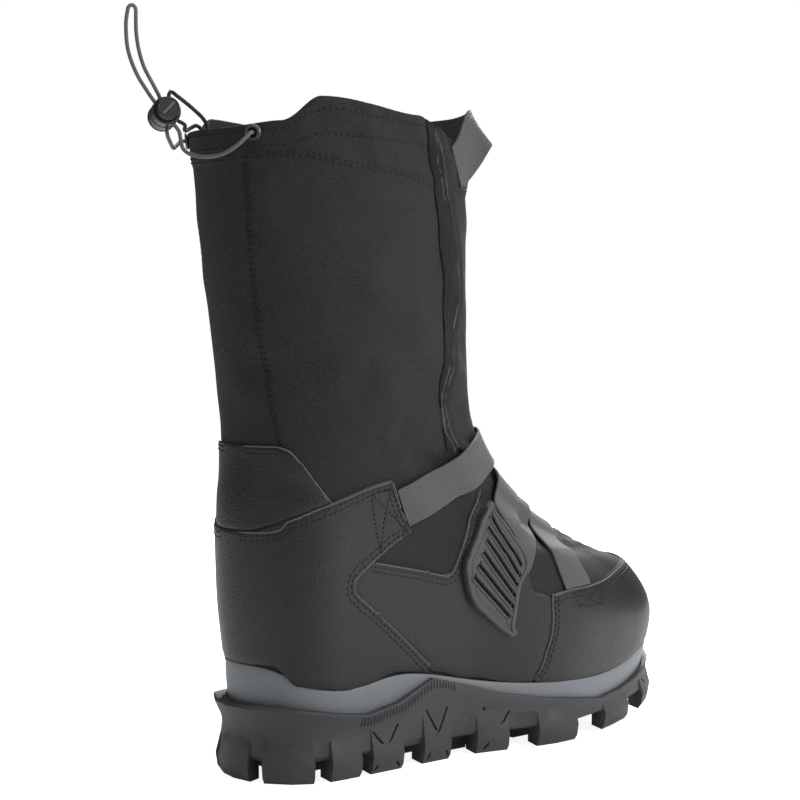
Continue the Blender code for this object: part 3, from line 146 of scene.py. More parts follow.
# Soft troughs of the cloth: two ends as turn and level, half-width and depth in metres. A ridge
# follows each trough, and a negative depth is a fold that stands out.
CREASES = (
    (0.300, 13.92, 0.400, 13.30, 0.0070, 0.0016), (0.235, 13.75, 0.300, 13.20, 0.0060, 0.0011),
    (0.360, 13.10, 0.415, 12.75, 0.0080, 0.0012), (0.160, 13.60, 0.205, 13.15, 0.0060, 0.0008),
    (0.130, 12.55, 0.300, 12.05, 0.0120, 0.0012), (0.080, 11.60, 0.240, 11.20, 0.0120, 0.0012),
    (0.250, 11.80, 0.370, 11.10, 0.0110, 0.0014), (0.055, 10.70, 0.190, 10.35, 0.0100, 0.0014),
    (0.200, 10.60, 0.350, 10.10, 0.0100, 0.0015), (0.240, 9.60, 0.365, 9.35, 0.0060, 0.0013),
    (0.250, 8.85, 0.340, 8.55, 0.0060, 0.0012), (0.270, 8.10, 0.330, 7.60, 0.0055, 0.0011),
    (0.640, 9.60, 0.750, 9.40, 0.0060, 0.0013), (0.660, 8.85, 0.750, 8.60, 0.0060, 0.0012),
    (0.700, 10.60, 0.860, 10.20, 0.0100, 0.0014), (0.640, 11.70, 0.800, 11.20, 0.0120, 0.0012),
    (0.760, 12.60, 0.900, 12.10, 0.0110, 0.0011), (0.600, 13.80, 0.700, 13.25, 0.0070, 0.0014),
    (0.445, 6.60, 0.490, 6.35, 0.0050, 0.0012), (0.400, 6.10, 0.455, 5.70, 0.0050, 0.0012),
    (0.455, 5.30, 0.545, 5.30, 0.0050, 0.0012), (0.545, 6.10, 0.600, 5.70, 0.0050, 0.0012),
)

# Outline of the pull tab in side view.
PULL_TAB = ((0.476, 0.884), (0.491, 0.833), (0.512, 0.781), (0.537, 0.666), (0.514, 0.589), (0.506, 0.516),
            (0.503, 0.445), (0.510, 0.415), (0.498, 0.406), (0.467, 0.447), (0.416, 0.530), (0.399, 0.592),
            (0.391, 0.657), (0.392, 0.691), (0.409, 0.751), (0.436, 0.818), (0.457, 0.867))
# Lugs along the sole as shares of FOOT_LENGTH from back to front, and the outsole wall's top.
SIDE_LUGS = ((0.190, 0.262), (0.312, 0.376), (0.442, 0.512), (0.574, 0.662), (0.745, 0.826), (0.885, 0.945))
WALL_TOP = ((0.0, 1.30), (0.03, 1.32), (0.06, 1.29), (0.09, 1.22), (0.15, 1.10), (0.185, 1.06), (0.25, 1.18),
            (0.34, 1.53), (0.43, 1.28), (0.53, 0.98), (0.63, 0.82), (0.74, 0.68), (0.83, 0.76), (0.91, 0.98),
            (1.0, 1.25))
# Slots of the pull tab, the first and the last of them from its upper to its lower end.
TAB_SLOTS = 6
FIRST_SLOT = ((0.464, 0.840), (0.518, 0.655))
LAST_SLOT = ((0.410, 0.635), (0.492, 0.477))
# Corners of the stitched boxes on the heel tab and the toe cap in side view, and seams over the vamp.
HEEL_X = ((0.178, 0.950), (0.216, 0.965), (0.262, 0.812), (0.205, 0.745))
TOE_X = ((0.640, 0.535), (0.735, 0.545), (0.725, 0.480), (0.655, 0.490))
VAMP_SEAMS = (
    ((0.375, 5.05), (0.405, 5.55), (0.440, 5.90), (0.480, 6.05), (0.520, 6.05), (0.560, 5.90), (0.600, 5.55)),
    ((0.345, 5.75), (0.375, 6.45), (0.410, 6.85), (0.460, 7.05), (0.540, 7.05), (0.590, 6.85), (0.640, 6.30)),
)
# Webbing loop on the front flap, from its outer to its inner end: its upper and lower edge in shares
# of SHAFT_DEPTH along x, SHAFT_WIDTH across and SHAFT_HEIGHT above INSTEP_HEIGHT.
PULL_LOOP = (
    (0.631, -0.473, 0.949, 0.700, -0.428, 0.840), (0.674, -0.444, 0.977, 0.741, -0.422, 0.865),
    (0.725, -0.401, 1.026, 0.786, -0.438, 0.913), (0.773, -0.355, 1.066, 0.824, -0.447, 0.962),
    (0.817, -0.299, 1.077, 0.859, -0.366, 0.963), (0.864, -0.223, 1.080, 0.891, -0.253, 0.956),
    (0.910, -0.114, 1.076, 0.919, -0.124, 0.949), (0.927, 0.000, 1.071, 0.927, 0.000, 0.944),
    (0.917, 0.112, 1.069, 0.917, 0.112, 0.941), (0.896, 0.190, 1.066, 0.896, 0.190, 0.939),
)
# Places of the columns of points across webbing, closer at both edges.
ACROSS = (0.0, 0.02, 0.07, 0.14, 0.26, 0.38, 0.50, 0.62, 0.74, 0.86, 0.93, 0.98, 1.0)

# Steps and reaches of lines laid on the shown faces, in metres.
LINE_STEP = 0.0012
LINE_GAP = 0.006
RAY_START = 0.2
# How deep a skin's cut edge goes into the cloth under it, and the rounding of webbing's edges.
SKIN_SINK = 0.0002
SELVEDGE_ROUND = 0.0003
# Angle in radians past which an edge of a moulded piece stays crisp.
CRISP_ANGLE = 0.62

# Finishes: the material's name, its dark and light colour, roughness, pattern, the map that the pattern
# lies on, the height of its bump in metres, and what else differs from a plain finish.
FINISHES = {
    "textile": ("textile", (0.005, 0.004, 0.005), (0.036, 0.032, 0.037), 0.78, "weave", "UV", 0.00035,
                {}),
    "flap": ("flap_textile", (0.005, 0.004, 0.005), (0.030, 0.027, 0.031), 0.78, "weave", "UV", 0.00030,
             {}),
    "lining": ("lining", (0.012, 0.012, 0.013), (0.03, 0.03, 0.032), 0.9, "weave", "UV", 0.0001, {}),
    "leather": ("leatherette", (0.007, 0.0065, 0.0065), (0.019, 0.017, 0.017), 0.47, "grain", "Object",
                0.00030, {"coat": 0.10, "cells": 900.0}),
    "cut": ("cut_edge", (0.10, 0.096, 0.094), (0.15, 0.145, 0.142), 0.75, "grain", "Object", 0.0001, {}),
    "binding": ("binding", (0.09, 0.086, 0.09), (0.17, 0.165, 0.17), 0.8, "weave", "UV", 0.0002, {}),
    "binding_dark": ("binding_dark", (0.014, 0.013, 0.014), (0.03, 0.028, 0.03), 0.8, "weave", "UV",
                     0.0002, {}),
    "hook": ("hook_tape", (0.006, 0.006, 0.006), (0.014, 0.014, 0.014), 0.95, "grain", "Object", 0.0006,
             {"cells": 700.0}),
    "webbing": ("webbing", (0.065, 0.062, 0.064), (0.15, 0.146, 0.148), 0.72, "webbing", "UV", 0.00028,
                {}),
    "webbing_plain": ("webbing_plain", (0.065, 0.062, 0.064), (0.15, 0.146, 0.148), 0.72, "webbing",
                      "Object", 0.00028, {}),
    "selvedge": ("selvedge", (0.17, 0.166, 0.168), (0.25, 0.245, 0.247), 0.7, "webbing", "UV", 0.0002,
                 {}),
    "thread": ("thread", (0.003, 0.003, 0.003), (0.009, 0.0085, 0.009), 0.55, "grain", "Object", 0.0001,
               {"cells": 2500.0}),
    "band": ("midsole_rubber", (0.165, 0.180, 0.196), (0.23, 0.248, 0.268), 0.5, "grain", "Object",
             0.00008, {"cells": 1800.0}),
    "rubber": ("outsole_rubber", (0.036, 0.036, 0.038), (0.072, 0.072, 0.076), 0.56, "grain", "Object",
               0.00012, {"cells": 1500.0}),
    "tab": ("tab_rubber", (0.060, 0.058, 0.060), (0.092, 0.089, 0.092), 0.5, "grain", "Object", 0.0002,
            {"cells": 1500.0, "coat": 0.05}),
    "metal": ("dark_metal", (0.10, 0.10, 0.105), (0.15, 0.15, 0.155), 0.38, "grain", "Object", 0.00002,
              {"metallic": 0.9, "cells": 1500.0}),
    "plastic": ("lock_plastic", (0.026, 0.025, 0.027), (0.04, 0.039, 0.041), 0.38, "grain", "Object",
                0.00003, {"cells": 1800.0, "coat": 0.1}),
    "felt": ("insole_felt", (0.05, 0.05, 0.052), (0.09, 0.09, 0.093), 0.95, "grain", "Object", 0.0004,
             {"cells": 1100.0}),
    "cord": ("cord", (0.07, 0.07, 0.073), (0.19, 0.19, 0.195), 0.7, "grain", "Object", 0.0003,
             {"cells": 1600.0}),
    "tether": ("tether", (0.012, 0.012, 0.013), (0.03, 0.03, 0.032), 0.7, "grain", "Object", 0.0003,
               {"cells": 1600.0}),
}

# Drawcord: points that the elastic follows, in metres.
CORD_ROUTES = {
    "cord_near": ((-0.0483, -0.0317, 0.3606), (-0.0518, -0.0344, 0.3602), (-0.0552, -0.0339, 0.3569),
                  (-0.0583, -0.0323, 0.3537), (-0.0609, -0.0294, 0.3510), (-0.0631, -0.0257, 0.3490),
                  (-0.0648, -0.0215, 0.3479), (-0.0665, -0.0170, 0.3475), (-0.0683, -0.0127, 0.3476),
                  (-0.0701, -0.0083, 0.3483), (-0.0719, -0.0042, 0.3497), (-0.0735, -0.0009, 0.3526),
                  (-0.0742, 0.0001, 0.3572), (-0.0749, 0.0006, 0.3618), (-0.0771, 0.0023, 0.3656)),
    "cord_far": ((-0.0503, 0.0289, 0.3598), (-0.0539, 0.0314, 0.3593), (-0.0576, 0.0290, 0.3575),
                 (-0.0610, 0.0260, 0.3559), (-0.0642, 0.0226, 0.3548), (-0.0671, 0.0188, 0.3543),
                 (-0.0702, 0.0152, 0.3548), (-0.0732, 0.0116, 0.3558), (-0.0763, 0.0082, 0.3572),
                 (-0.0793, 0.0052, 0.3593), (-0.0791, 0.0068, 0.3635)),
    "cord_loop": ((-0.0832, 0.0115, 0.3777), (-0.0836, 0.0118, 0.3784), (-0.0846, 0.0125, 0.3801),
                  (-0.0873, 0.0143, 0.3849), (-0.0904, 0.0163, 0.3908), (-0.0925, 0.0180, 0.3964),
                  (-0.0941, 0.0193, 0.4019), (-0.0951, 0.0201, 0.4067), (-0.0956, 0.0205, 0.4113),
                  (-0.0958, 0.0207, 0.4165), (-0.0958, 0.0207, 0.4213), (-0.0955, 0.0204, 0.4249),
                  (-0.0951, 0.0201, 0.4275), (-0.0949, 0.0200, 0.4288), (-0.0947, 0.0198, 0.4295),
                  (-0.0941, 0.0193, 0.4303), (-0.0933, 0.0187, 0.4307), (-0.0926, 0.0181, 0.4303),
                  (-0.0920, 0.0176, 0.4295), (-0.0917, 0.0174, 0.4291), (-0.0916, 0.0173, 0.4275),
                  (-0.0916, 0.0173, 0.4228), (-0.0916, 0.0172, 0.4172), (-0.0912, 0.0170, 0.4123),
                  (-0.0906, 0.0165, 0.4073), (-0.0896, 0.0156, 0.4019), (-0.0882, 0.0145, 0.3967),
                  (-0.0866, 0.0130, 0.3923), (-0.0848, 0.0118, 0.3883), (-0.0826, 0.0115, 0.3846),
                  (-0.0808, 0.0115, 0.3817), (-0.0804, 0.0112, 0.3800), (-0.0805, 0.0108, 0.3788)),
    "tether_upper": ((-0.0784, 0.0059, 0.3795), (-0.0768, 0.0062, 0.3838), (-0.0734, 0.0040, 0.3811),
                     (-0.0691, 0.0043, 0.3787), (-0.0649, 0.0046, 0.3762), (-0.0608, 0.0048, 0.3735),
                     (-0.0570, 0.0047, 0.3705), (-0.0542, 0.0045, 0.3665), (-0.0545, 0.0041, 0.3617),
                     (-0.0547, 0.0040, 0.3568), (-0.0540, 0.0040, 0.3519), (-0.0534, 0.0040, 0.3470),
                     (-0.0528, 0.0040, 0.3422), (-0.0523, 0.0040, 0.3373)),
    "tether_lower": ((-0.0739, 0.0038, 0.3680), (-0.0702, 0.0022, 0.3658), (-0.0681, 0.0058, 0.3636),
                     (-0.0648, 0.0090, 0.3634), (-0.0606, 0.0106, 0.3653), (-0.0563, 0.0116, 0.3668),
                     (-0.0528, 0.0118, 0.3642), (-0.0530, 0.0116, 0.3594), (-0.0530, 0.0115, 0.3546),
                     (-0.0524, 0.0115, 0.3498), (-0.0518, 0.0115, 0.3450), (-0.0512, 0.0115, 0.3403),
                     (-0.0507, 0.0115, 0.3355)),
}


# Shape of the body


def table_value(rows, where, column):
    """Value of a table's column at a place, on a smooth step between its rows."""
    if where <= rows[0][0]:
        return rows[0][column]
    for low, high in zip(rows, rows[1:]):
        if where <= high[0]:
            share = (where - low[0]) / (high[0] - low[0])
            share = share * share * (3.0 - 2.0 * share)
            return low[column] + (high[column] - low[column]) * share
    return rows[-1][column]


def catmull(a, b, c, d, t):
    """Smooth curve from b to c, for a share t, with a and d as the points before and after."""
    bend = (2 * a - 5 * b + 4 * c - d) * t * t + (3 * b - 3 * c + d - a) * t ** 3
    return 0.5 * (2 * b + (c - a) * t + bend)


def real_sections():
    rows = []
    for back_x, back_z, front_x, front_z, heel, waist, ball, toe, back_round, front_round in FOOT_SECTIONS:
        rows.append((back_x * FOOT_LENGTH - HEEL_SETBACK, back_z * INSTEP_HEIGHT,
                     front_x * FOOT_LENGTH - HEEL_SETBACK, front_z * INSTEP_HEIGHT, heel * HEEL_WIDTH,
                     waist * BALL_WIDTH, ball * BALL_WIDTH, toe * BALL_WIDTH, back_round, front_round))
    for back_x, back_z, front_x, front_z, heel, waist, ball, toe, back_round, front_round in SHAFT_SECTIONS:
        rows.append((back_x * SHAFT_DEPTH - HEEL_SETBACK, INSTEP_HEIGHT + back_z * SHAFT_HEIGHT,
                     front_x * SHAFT_DEPTH - HEEL_SETBACK, INSTEP_HEIGHT + front_z * SHAFT_HEIGHT,
                     heel * SHAFT_WIDTH, waist * SHAFT_WIDTH, ball * SHAFT_WIDTH, toe * SHAFT_WIDTH,
                     back_round, front_round))
    return np.array(rows)


SECTIONS = real_sections()
TOP = len(SECTIONS) - 1


def section_at(level):
    level = min(max(level, 0.0), TOP)
    index = min(int(level), TOP - 1)
    picked = SECTIONS[[max(index - 1, 0), index, index + 1, min(index + 2, TOP)]]
    return catmull(*picked, level - index)


def tread_height(x):
    start = SPRING_START * FOOT_LENGTH - HEEL_SETBACK
    return TOE_SPRING * max(0.0, (x - start) / (FOOT_LENGTH - HEEL_SETBACK - start)) ** 2


def bed_height(x):
    share = min(max(((x + HEEL_SETBACK) / FOOT_LENGTH - 0.20) / 0.32, 0.0), 1.0)
    share = share * share * (3.0 - 2.0 * share)
    return HEEL_BED + (BALL_BED - HEEL_BED) * share + tread_height(x)


def end_round(share, back_round, front_round):
    if share < back_round:
        return math.sqrt(max(0.0, 1.0 - (1.0 - share / back_round) ** 2))
    if share > 1.0 - front_round:
        return math.sqrt(max(0.0, 1.0 - (1.0 - (1.0 - share) / front_round) ** 2))
    return 1.0


def body_row(turns, level):
    """Points of the upper's outer face at one level, for a list of turns."""
    back_x, back_z, front_x, front_z, heel, waist, ball, toe, back_round, front_round = section_at(level)
    widths = tuple(zip(STATIONS, (heel, waist, ball, toe)))
    row = []
    for turn in turns:
        share = 0.5 - 0.5 * math.cos(2.0 * math.pi * turn)
        side = -1.0 if turn % 1.0 < 0.5 else 1.0
        half = table_value(widths, share, 1) * end_round(share, back_round, front_round)
        x = back_x + (front_x - back_x) * share
        z = back_z + (front_z - back_z) * share
        if level < 1.0:
            rim_z = SECTIONS[1][1] + (SECTIONS[1][3] - SECTIONS[1][1]) * share
            z = (bed_height(x) + CLEARANCE) * (1.0 - level) + rim_z * level
        if level > TOP - 1:
            z += table_value(COLLAR_EDGE, share, 1 if side < 0 else 2) * SHAFT_HEIGHT * (level - TOP + 1)
        swing = TOE_SWING * max(0.0, (x - 0.4 * FOOT_LENGTH) / (0.5 * FOOT_LENGTH)) ** 1.5
        row.append((x, side * half + swing, z))
    return np.array(row)


Grid = namedtuple("Grid", "points normals uv wrap")


def with_normals(points, wrap):
    """Grid with its outward normals and a map of its lengths along and across, in metres."""
    if wrap:
        around = np.roll(points, -1, 1) - np.roll(points, 1, 1)
    else:
        around = np.gradient(points, axis=1)
    along = np.gradient(points, axis=0)
    normals = np.cross(around, along)
    normals /= np.linalg.norm(normals, axis=2, keepdims=True) + 1e-12
    u = np.zeros(points.shape[:2])
    v = np.zeros(points.shape[:2])
    u[:, 1:] = np.cumsum(np.linalg.norm(np.diff(points, axis=1), axis=2), 1)
    v[1:, :] = np.cumsum(np.linalg.norm(np.diff(points, axis=0), axis=2), 0)
    return Grid(points, normals, np.stack([u, v], 2), wrap)


GRID_TURNS, GRID_LEVELS = 320, 169
TURNS = [index / GRID_TURNS for index in range(GRID_TURNS)]
LEVELS = [TOP * index / (GRID_LEVELS - 1) for index in range(GRID_LEVELS)]


def point_at(turn, level):
    return body_row([turn], level)[0]


def line_distance(points, ends):
    """Distance of each point from a bent line through some points."""
    least = np.full(points.shape[:-1], 9.0)
    for a, b in zip(ends, ends[1:]):
        way = b - a
        share = np.clip(((points - a) @ way) / max(way @ way, 1e-12), 0.0, 1.0)
        least = np.minimum(least, np.linalg.norm(points - (a + share[..., None] * way), axis=-1))
    return least


def crease_depths(points, scale):
    """How far each point is moved along its normal by the cloth's folds."""
    moved = np.zeros(points.shape[:-1])
    for turn_a, level_a, turn_b, level_b, width, depth in CREASES:
        bent = (turn_a + turn_b) / 2 + 0.006
        middle = point_at(bent, (level_a + level_b) / 2 + 0.06)
        away = line_distance(points, [point_at(turn_a, level_a), middle, point_at(turn_b, level_b)]) / width
        moved += depth * (-np.exp(-away ** 2) + 0.75 * np.exp(-(away - 1.7) ** 2 / 0.8))
    return moved * scale


def seam_relief(points):
    """Folded collar band standing proud above its seam, and the shaft's seams sunk between their stitches."""
    seam_z = np.interp(points[..., 0], [p[0] for p in COLLAR_SEAM], [p[2] for p in COLLAR_SEAM])
    share = np.clip((points[..., 2] - seam_z) / 0.0030 + 0.5, 0.0, 1.0)
    relief = COLLAR_FACE * share * share * (3.0 - 2.0 * share)
    for side in (1.0, -1.0):
        seam = [np.array((x, side * y, z)) for x, y, z in BACK_SEAM]
        relief -= 0.0008 * np.exp(-(line_distance(points, seam) / 0.0018) ** 2)
    return relief


def make_body(scale):
    """Fine grid of the upper's outer face with its folds and seams, and the same face left plain."""
    points = np.array([body_row(TURNS, level) for level in LEVELS])
    plain = with_normals(points, True)
    moved = crease_depths(points, scale) + seam_relief(points)
    return with_normals(points + plain.normals * moved[..., None], True), plain


# Sheets cut from a grid


def side_points(outline):
    return [np.array((x * FOOT_LENGTH - HEEL_SETBACK, z * INSTEP_HEIGHT)) for x, z in outline]


def signed_distance(points, outline):
    """Distance of each point from a closed outline in side view, negative inside."""
    x, z = points[..., 0], points[..., 2]
    flat = np.stack([x, z], -1)
    ends = outline + [outline[0]]
    inside = np.zeros(x.shape, bool)
    for (ax, az), (bx, bz) in zip(ends, ends[1:]):
        crossing = (az > z) != (bz > z)
        with np.errstate(divide="ignore", invalid="ignore"):
            at = ax + (z - az) * (bx - ax) / (bz - az)
        inside ^= crossing & (x < at)
    away = line_distance(flat, ends)
    return np.where(inside, -away, away)


def band_top(points):
    """Height over the grey band's top, negative below it."""
    rim = body_row(TURNS, 1.0)
    tops = np.array([table_value(BAND_TOP, min(max((x + HEEL_SETBACK) / FOOT_LENGTH, 0.0), 1.0), 1) * HEEL_BED
                     for x in rim[:, 0]])
    return points[..., 2] - tops[None, :] - PANEL_LIFT


def cut(grid, signed):
    """Grid points drawn onto the zero line of a signed field, and the faces inside it."""
    points, normals = grid.points.copy(), grid.normals
    side = np.where(signed < 0, 1, -1)
    best = np.full(signed.shape, 9.0)
    rows, columns = signed.shape
    for axis in (0, 1):
        other = np.roll(signed, -1, axis)
        crossing = (signed < 0) != (other < 0)
        if axis == 0:
            crossing[-1, :] = False
        elif not grid.wrap:
            crossing[:, -1] = False
        for i, j in np.argwhere(crossing):
            k = (i + 1, j) if axis == 0 else (i, (j + 1) % columns)
            share = signed[i, j] / (signed[i, j] - signed[k])
            pick = (i, j) if share < 0.5 else k
            cost = min(share, 1.0 - share)
            if cost < best[pick]:
                best[pick] = cost
                points[pick] = grid.points[i, j] + (grid.points[k] - grid.points[i, j]) * share
                side[pick] = 0
    faces = []
    for i in range(rows - 1):
        for j in range(columns if grid.wrap else columns - 1):
            corners = [(i, j), (i, (j + 1) % columns), (i + 1, (j + 1) % columns), (i + 1, j)]
            kept = [corner for corner in corners if side[corner] >= 0]
            if len(kept) < 3:
                continue
            if max(side[corner] for corner in kept) > 0 or sum(signed[corner] for corner in kept) < 0:
                faces.append(kept)
    return Grid(points, normals, grid.uv, grid.wrap), faces


def all_faces(grid):
    rows, columns = grid.points.shape[:2]
    made = []
    for i in range(rows - 1):
        for j in range(columns if grid.wrap else columns - 1):
            made.append([(i, j), (i, (j + 1) % columns), (i + 1, (j + 1) % columns), (i + 1, j)])
    return made


def build_sheet(name, grid, faces, top, bottom, paints, chamfer=0.0004, closed=False):
    """Cloth or skin with real thickness over a grid: its face, a softened edge and the cut edge below it."""
    mesh = bmesh.new()
    uv_layer = mesh.loops.layers.uv.new("lay")
    verts, places = {}, {}

    def vert(corner):
        if corner not in verts:
            base = grid.points[corner] + grid.normals[corner] * top
            verts[corner] = mesh.verts.new(base)
            places[verts[corner]] = corner
        return verts[corner]

    for corners in faces:
        face = mesh.faces.new([vert(corner) for corner in corners])
        face.smooth = True
        start = grid.uv[corners[0]]
        for loop, corner in zip(face.loops, corners):
            spot = grid.uv[corner]
            if grid.wrap and abs(spot[0] - start[0]) > 0.02:
                spot = np.array((grid.uv[corners[1]][0] + 0.0025, spot[1])) if spot[0] < start[0] else spot
            loop[uv_layer].uv = tuple(spot)
    edges = [edge for edge in mesh.edges if edge.is_boundary]
    rim = {v for edge in edges for v in edge.verts}
    low = {}
    for v in rim:
        corner = places[v]
        v.co = Vector(grid.points[corner] + grid.normals[corner] * (top - chamfer))
        low[v] = mesh.verts.new(grid.points[corner] + grid.normals[corner] * bottom)
    for edge in edges:
        loop = edge.link_loops[0]
        a, b = loop.vert, loop.link_loop_next.vert
        side = mesh.faces.new((b, a, low[a], low[b]))
        side.material_index = 1
        side.smooth = True
        for corner_loop in side.loops:
            corner_loop[uv_layer].uv = loop[uv_layer].uv
        edge.smooth = False
    if closed:
        under = {}
        for corner, v in verts.items():
            under[corner] = low[v] if v in low else mesh.verts.new(
                grid.points[corner] + grid.normals[corner] * bottom)
        for corners in faces:
            face = mesh.faces.new([under[corner] for corner in reversed(corners)])
            face.smooth = True
            for loop, corner in zip(face.loops, reversed(corners)):
                loop[uv_layer].uv = tuple(grid.uv[corner])
    return publish(name, mesh, paints)


def publish(name, mesh, paints):
    data = bpy.data.meshes.new(name)
    mesh.to_mesh(data)
    mesh.free()
    made = bpy.data.objects.new(name, data)
    bpy.context.scene.collection.objects.link(made)
    for paint in paints:
        data.materials.append(paint)
    return made


def place(item, slot, *nodes, body="boot"):
    """The piece rides on its body and stands for its CAD nodes, which it hides. The slot is not used."""
    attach(item, body)
    if nodes:
        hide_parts(*nodes)
    return item


# Finishes


def add(tree, kind, x=0, y=0):
    made = tree.nodes.new(kind)
    made.location = (x, y)
    return made


def set_math(tree, operation, first, second=None, x=0, y=0):
    made = add(tree, "ShaderNodeMath", x, y)
    made.operation = operation
    for socket, value in zip(made.inputs, (first, second)):
        if value is None:
            continue
        if isinstance(value, (int, float)):
            socket.default_value = value
        else:
            tree.links.new(value, socket)
    return made.outputs[0]


def wave_along(tree, vector, angle, spacing, x, y):
    """Even bands across a map, turned by an angle, with a spacing in metres."""
    turned = add(tree, "ShaderNodeMapping", x, y)
    turned.inputs["Rotation"].default_value = (0.0, 0.0, angle)
    tree.links.new(vector, turned.inputs["Vector"])
    made = add(tree, "ShaderNodeTexWave", x + 200, y)
    made.wave_type, made.bands_direction = "BANDS", "X"
    made.inputs["Scale"].default_value = math.pi / 10.0 / spacing
    tree.links.new(turned.outputs[0], made.inputs["Vector"])
    return made.outputs["Fac"]


def noise_of(tree, vector, scale, detail, x, y):
    made = add(tree, "ShaderNodeTexNoise", x, y)
    made.inputs["Scale"].default_value = scale
    made.inputs["Detail"].default_value = detail
    tree.links.new(vector, made.inputs["Vector"])
    return made.outputs["Fac"]


def group_of(name, inputs):
    """Node group that gives a height and a tone, with its input and output nodes."""
    tree = bpy.data.node_groups.new(name, "ShaderNodeTree")
    for label, kind, value in inputs:
        socket = tree.interface.new_socket(label, in_out="INPUT", socket_type=kind)
        if value is not None:
            socket.default_value = value
    for label in ("Height", "Tone"):
        tree.interface.new_socket(label, in_out="OUTPUT", socket_type="NodeSocketFloat")
    return tree, add(tree, "NodeGroupInput", -600), add(tree, "NodeGroupOutput", 800)


def weave_group():
    """Heights of a woven cloth: slanting twill ribs crossed by finer yarns, with uneven yarns."""
    tree, start, end = group_of("woven_cloth", [("Map", "NodeSocketVector", None),
                                                ("Unevenness", "NodeSocketFloat", 0.3)])
    ribs = wave_along(tree, start.outputs["Map"], 0.9, 0.00105, -400, 200)
    yarns = wave_along(tree, start.outputs["Map"], -0.6, 0.00070, -400, -100)
    noise = noise_of(tree, start.outputs["Map"], 420.0, 3.0, -200, -400)
    broad = noise_of(tree, start.outputs["Map"], 34.0, 2.0, -200, -700)
    faint = set_math(tree, "ADD", set_math(tree, "MULTIPLY", yarns, 0.5), 0.5)
    woven = set_math(tree, "MULTIPLY", ribs, faint, 200, 100)
    rough = set_math(tree, "MULTIPLY", noise, start.outputs["Unevenness"], 200, -300)
    soft = set_math(tree, "ADD", rough, set_math(tree, "MULTIPLY", broad, 7.0, 200, -700), 300, -500)
    tree.links.new(set_math(tree, "ADD", woven, soft, 400, 0), end.inputs["Height"])
    mixed = set_math(tree, "MULTIPLY", set_math(tree, "ADD", woven, noise, 400, -200), 0.7, 500, -200)
    tree.links.new(mixed, end.inputs["Tone"])
    return tree


def webbing_group():
    """Heights of narrow webbing: lengthwise ribs crossed by a fine slanting weave."""
    tree, start, end = group_of("ribbed_webbing", [("Map", "NodeSocketVector", None)])
    ribs = wave_along(tree, start.outputs["Map"], 0.0, 0.0014, -400, 200)
    slant = wave_along(tree, start.outputs["Map"], 0.95, 0.0011, -400, -100)
    fine = set_math(tree, "MULTIPLY", slant, 0.4)
    both = set_math(tree, "ADD", set_math(tree, "MULTIPLY", ribs, 0.6), fine, 300)
    tree.links.new(both, end.inputs["Height"])
    tree.links.new(both, end.inputs["Tone"])
    return tree


def grain_group():
    """Heights of a pressed leather grain: small cells and finer pores."""
    tree, start, end = group_of("pressed_grain", [("Place", "NodeSocketVector", None),
                                                  ("Cells", "NodeSocketFloat", 700.0)])
    cells = add(tree, "ShaderNodeTexVoronoi", -300, 200)
    cells.feature = "SMOOTH_F1"
    tree.links.new(start.outputs["Place"], cells.inputs["Vector"])
    tree.links.new(start.outputs["Cells"], cells.inputs["Scale"])
    noise = noise_of(tree, start.outputs["Place"], 260.0, 6.0, -300, -200)
    broad = noise_of(tree, start.outputs["Place"], 22.0, 3.0, -300, -500)
    height = set_math(tree, "ADD", cells.outputs["Distance"], set_math(tree, "MULTIPLY", noise, 0.6), 200)
    tree.links.new(height, end.inputs["Height"])
    speckle = set_math(tree, "MULTIPLY", set_math(tree, "ADD", broad, height, 300, -400), 0.55, 450, -400)
    tree.links.new(speckle, end.inputs["Tone"])
    return tree


def finish_of(name, colour, light, roughness, group, coordinate, bump, spread=0.12, coat=0.0, metallic=0.0,
              cells=None):
    """Finish whose group mixes two colours and moves the roughness by its tone, and lifts the face."""
    made = bpy.data.materials.new(name)
    made.use_nodes = True
    tree = made.node_tree
    shader = tree.nodes["Principled BSDF"]
    source = add(tree, "ShaderNodeTexCoord" if coordinate == "Object" else "ShaderNodeUVMap", -900)
    if coordinate == "UV":
        source.uv_map = "lay"
    pattern = add(tree, "ShaderNodeGroup", -650)
    pattern.node_tree = group
    tree.links.new(source.outputs[coordinate], pattern.inputs[0])
    if cells:
        pattern.inputs["Cells"].default_value = cells
    mix = add(tree, "ShaderNodeMix", -350, 200)
    mix.data_type = "RGBA"
    mix.inputs["A"].default_value = (*colour, 1.0)
    mix.inputs["B"].default_value = (*light, 1.0)
    tree.links.new(pattern.outputs["Tone"], mix.inputs["Factor"])
    tree.links.new(mix.outputs["Result"], shader.inputs["Base Color"])
    spread_by = set_math(tree, "MULTIPLY", pattern.outputs["Tone"], spread, -350, -50)
    rough = set_math(tree, "ADD", spread_by, roughness - 0.5 * spread, -150, -50)
    tree.links.new(rough, shader.inputs["Roughness"])
    lift = add(tree, "ShaderNodeBump", -350, -300)
    lift.inputs["Strength"].default_value = 1.0
    lift.inputs["Distance"].default_value = bump
    tree.links.new(pattern.outputs["Height"], lift.inputs["Height"])
    tree.links.new(lift.outputs["Normal"], shader.inputs["Normal"])
    shader.inputs["Metallic"].default_value = metallic
    shader.inputs["Coat Weight"].default_value = coat
    return made


def make_finishes():
    """All finishes by name."""
    patterns = {"weave": weave_group(), "webbing": webbing_group(), "grain": grain_group()}
    made = {}
    for key, (name, dark, light, roughness, pattern, coordinate, bump, more) in FINISHES.items():
        made[key] = finish_of(name, dark, light, roughness, patterns[pattern], coordinate, bump, **more)
    return made


# What one step hands to the next: finishes, the upper's grids and the pieces that others lie on.
STATE = {}


# Lines on the shown surfaces


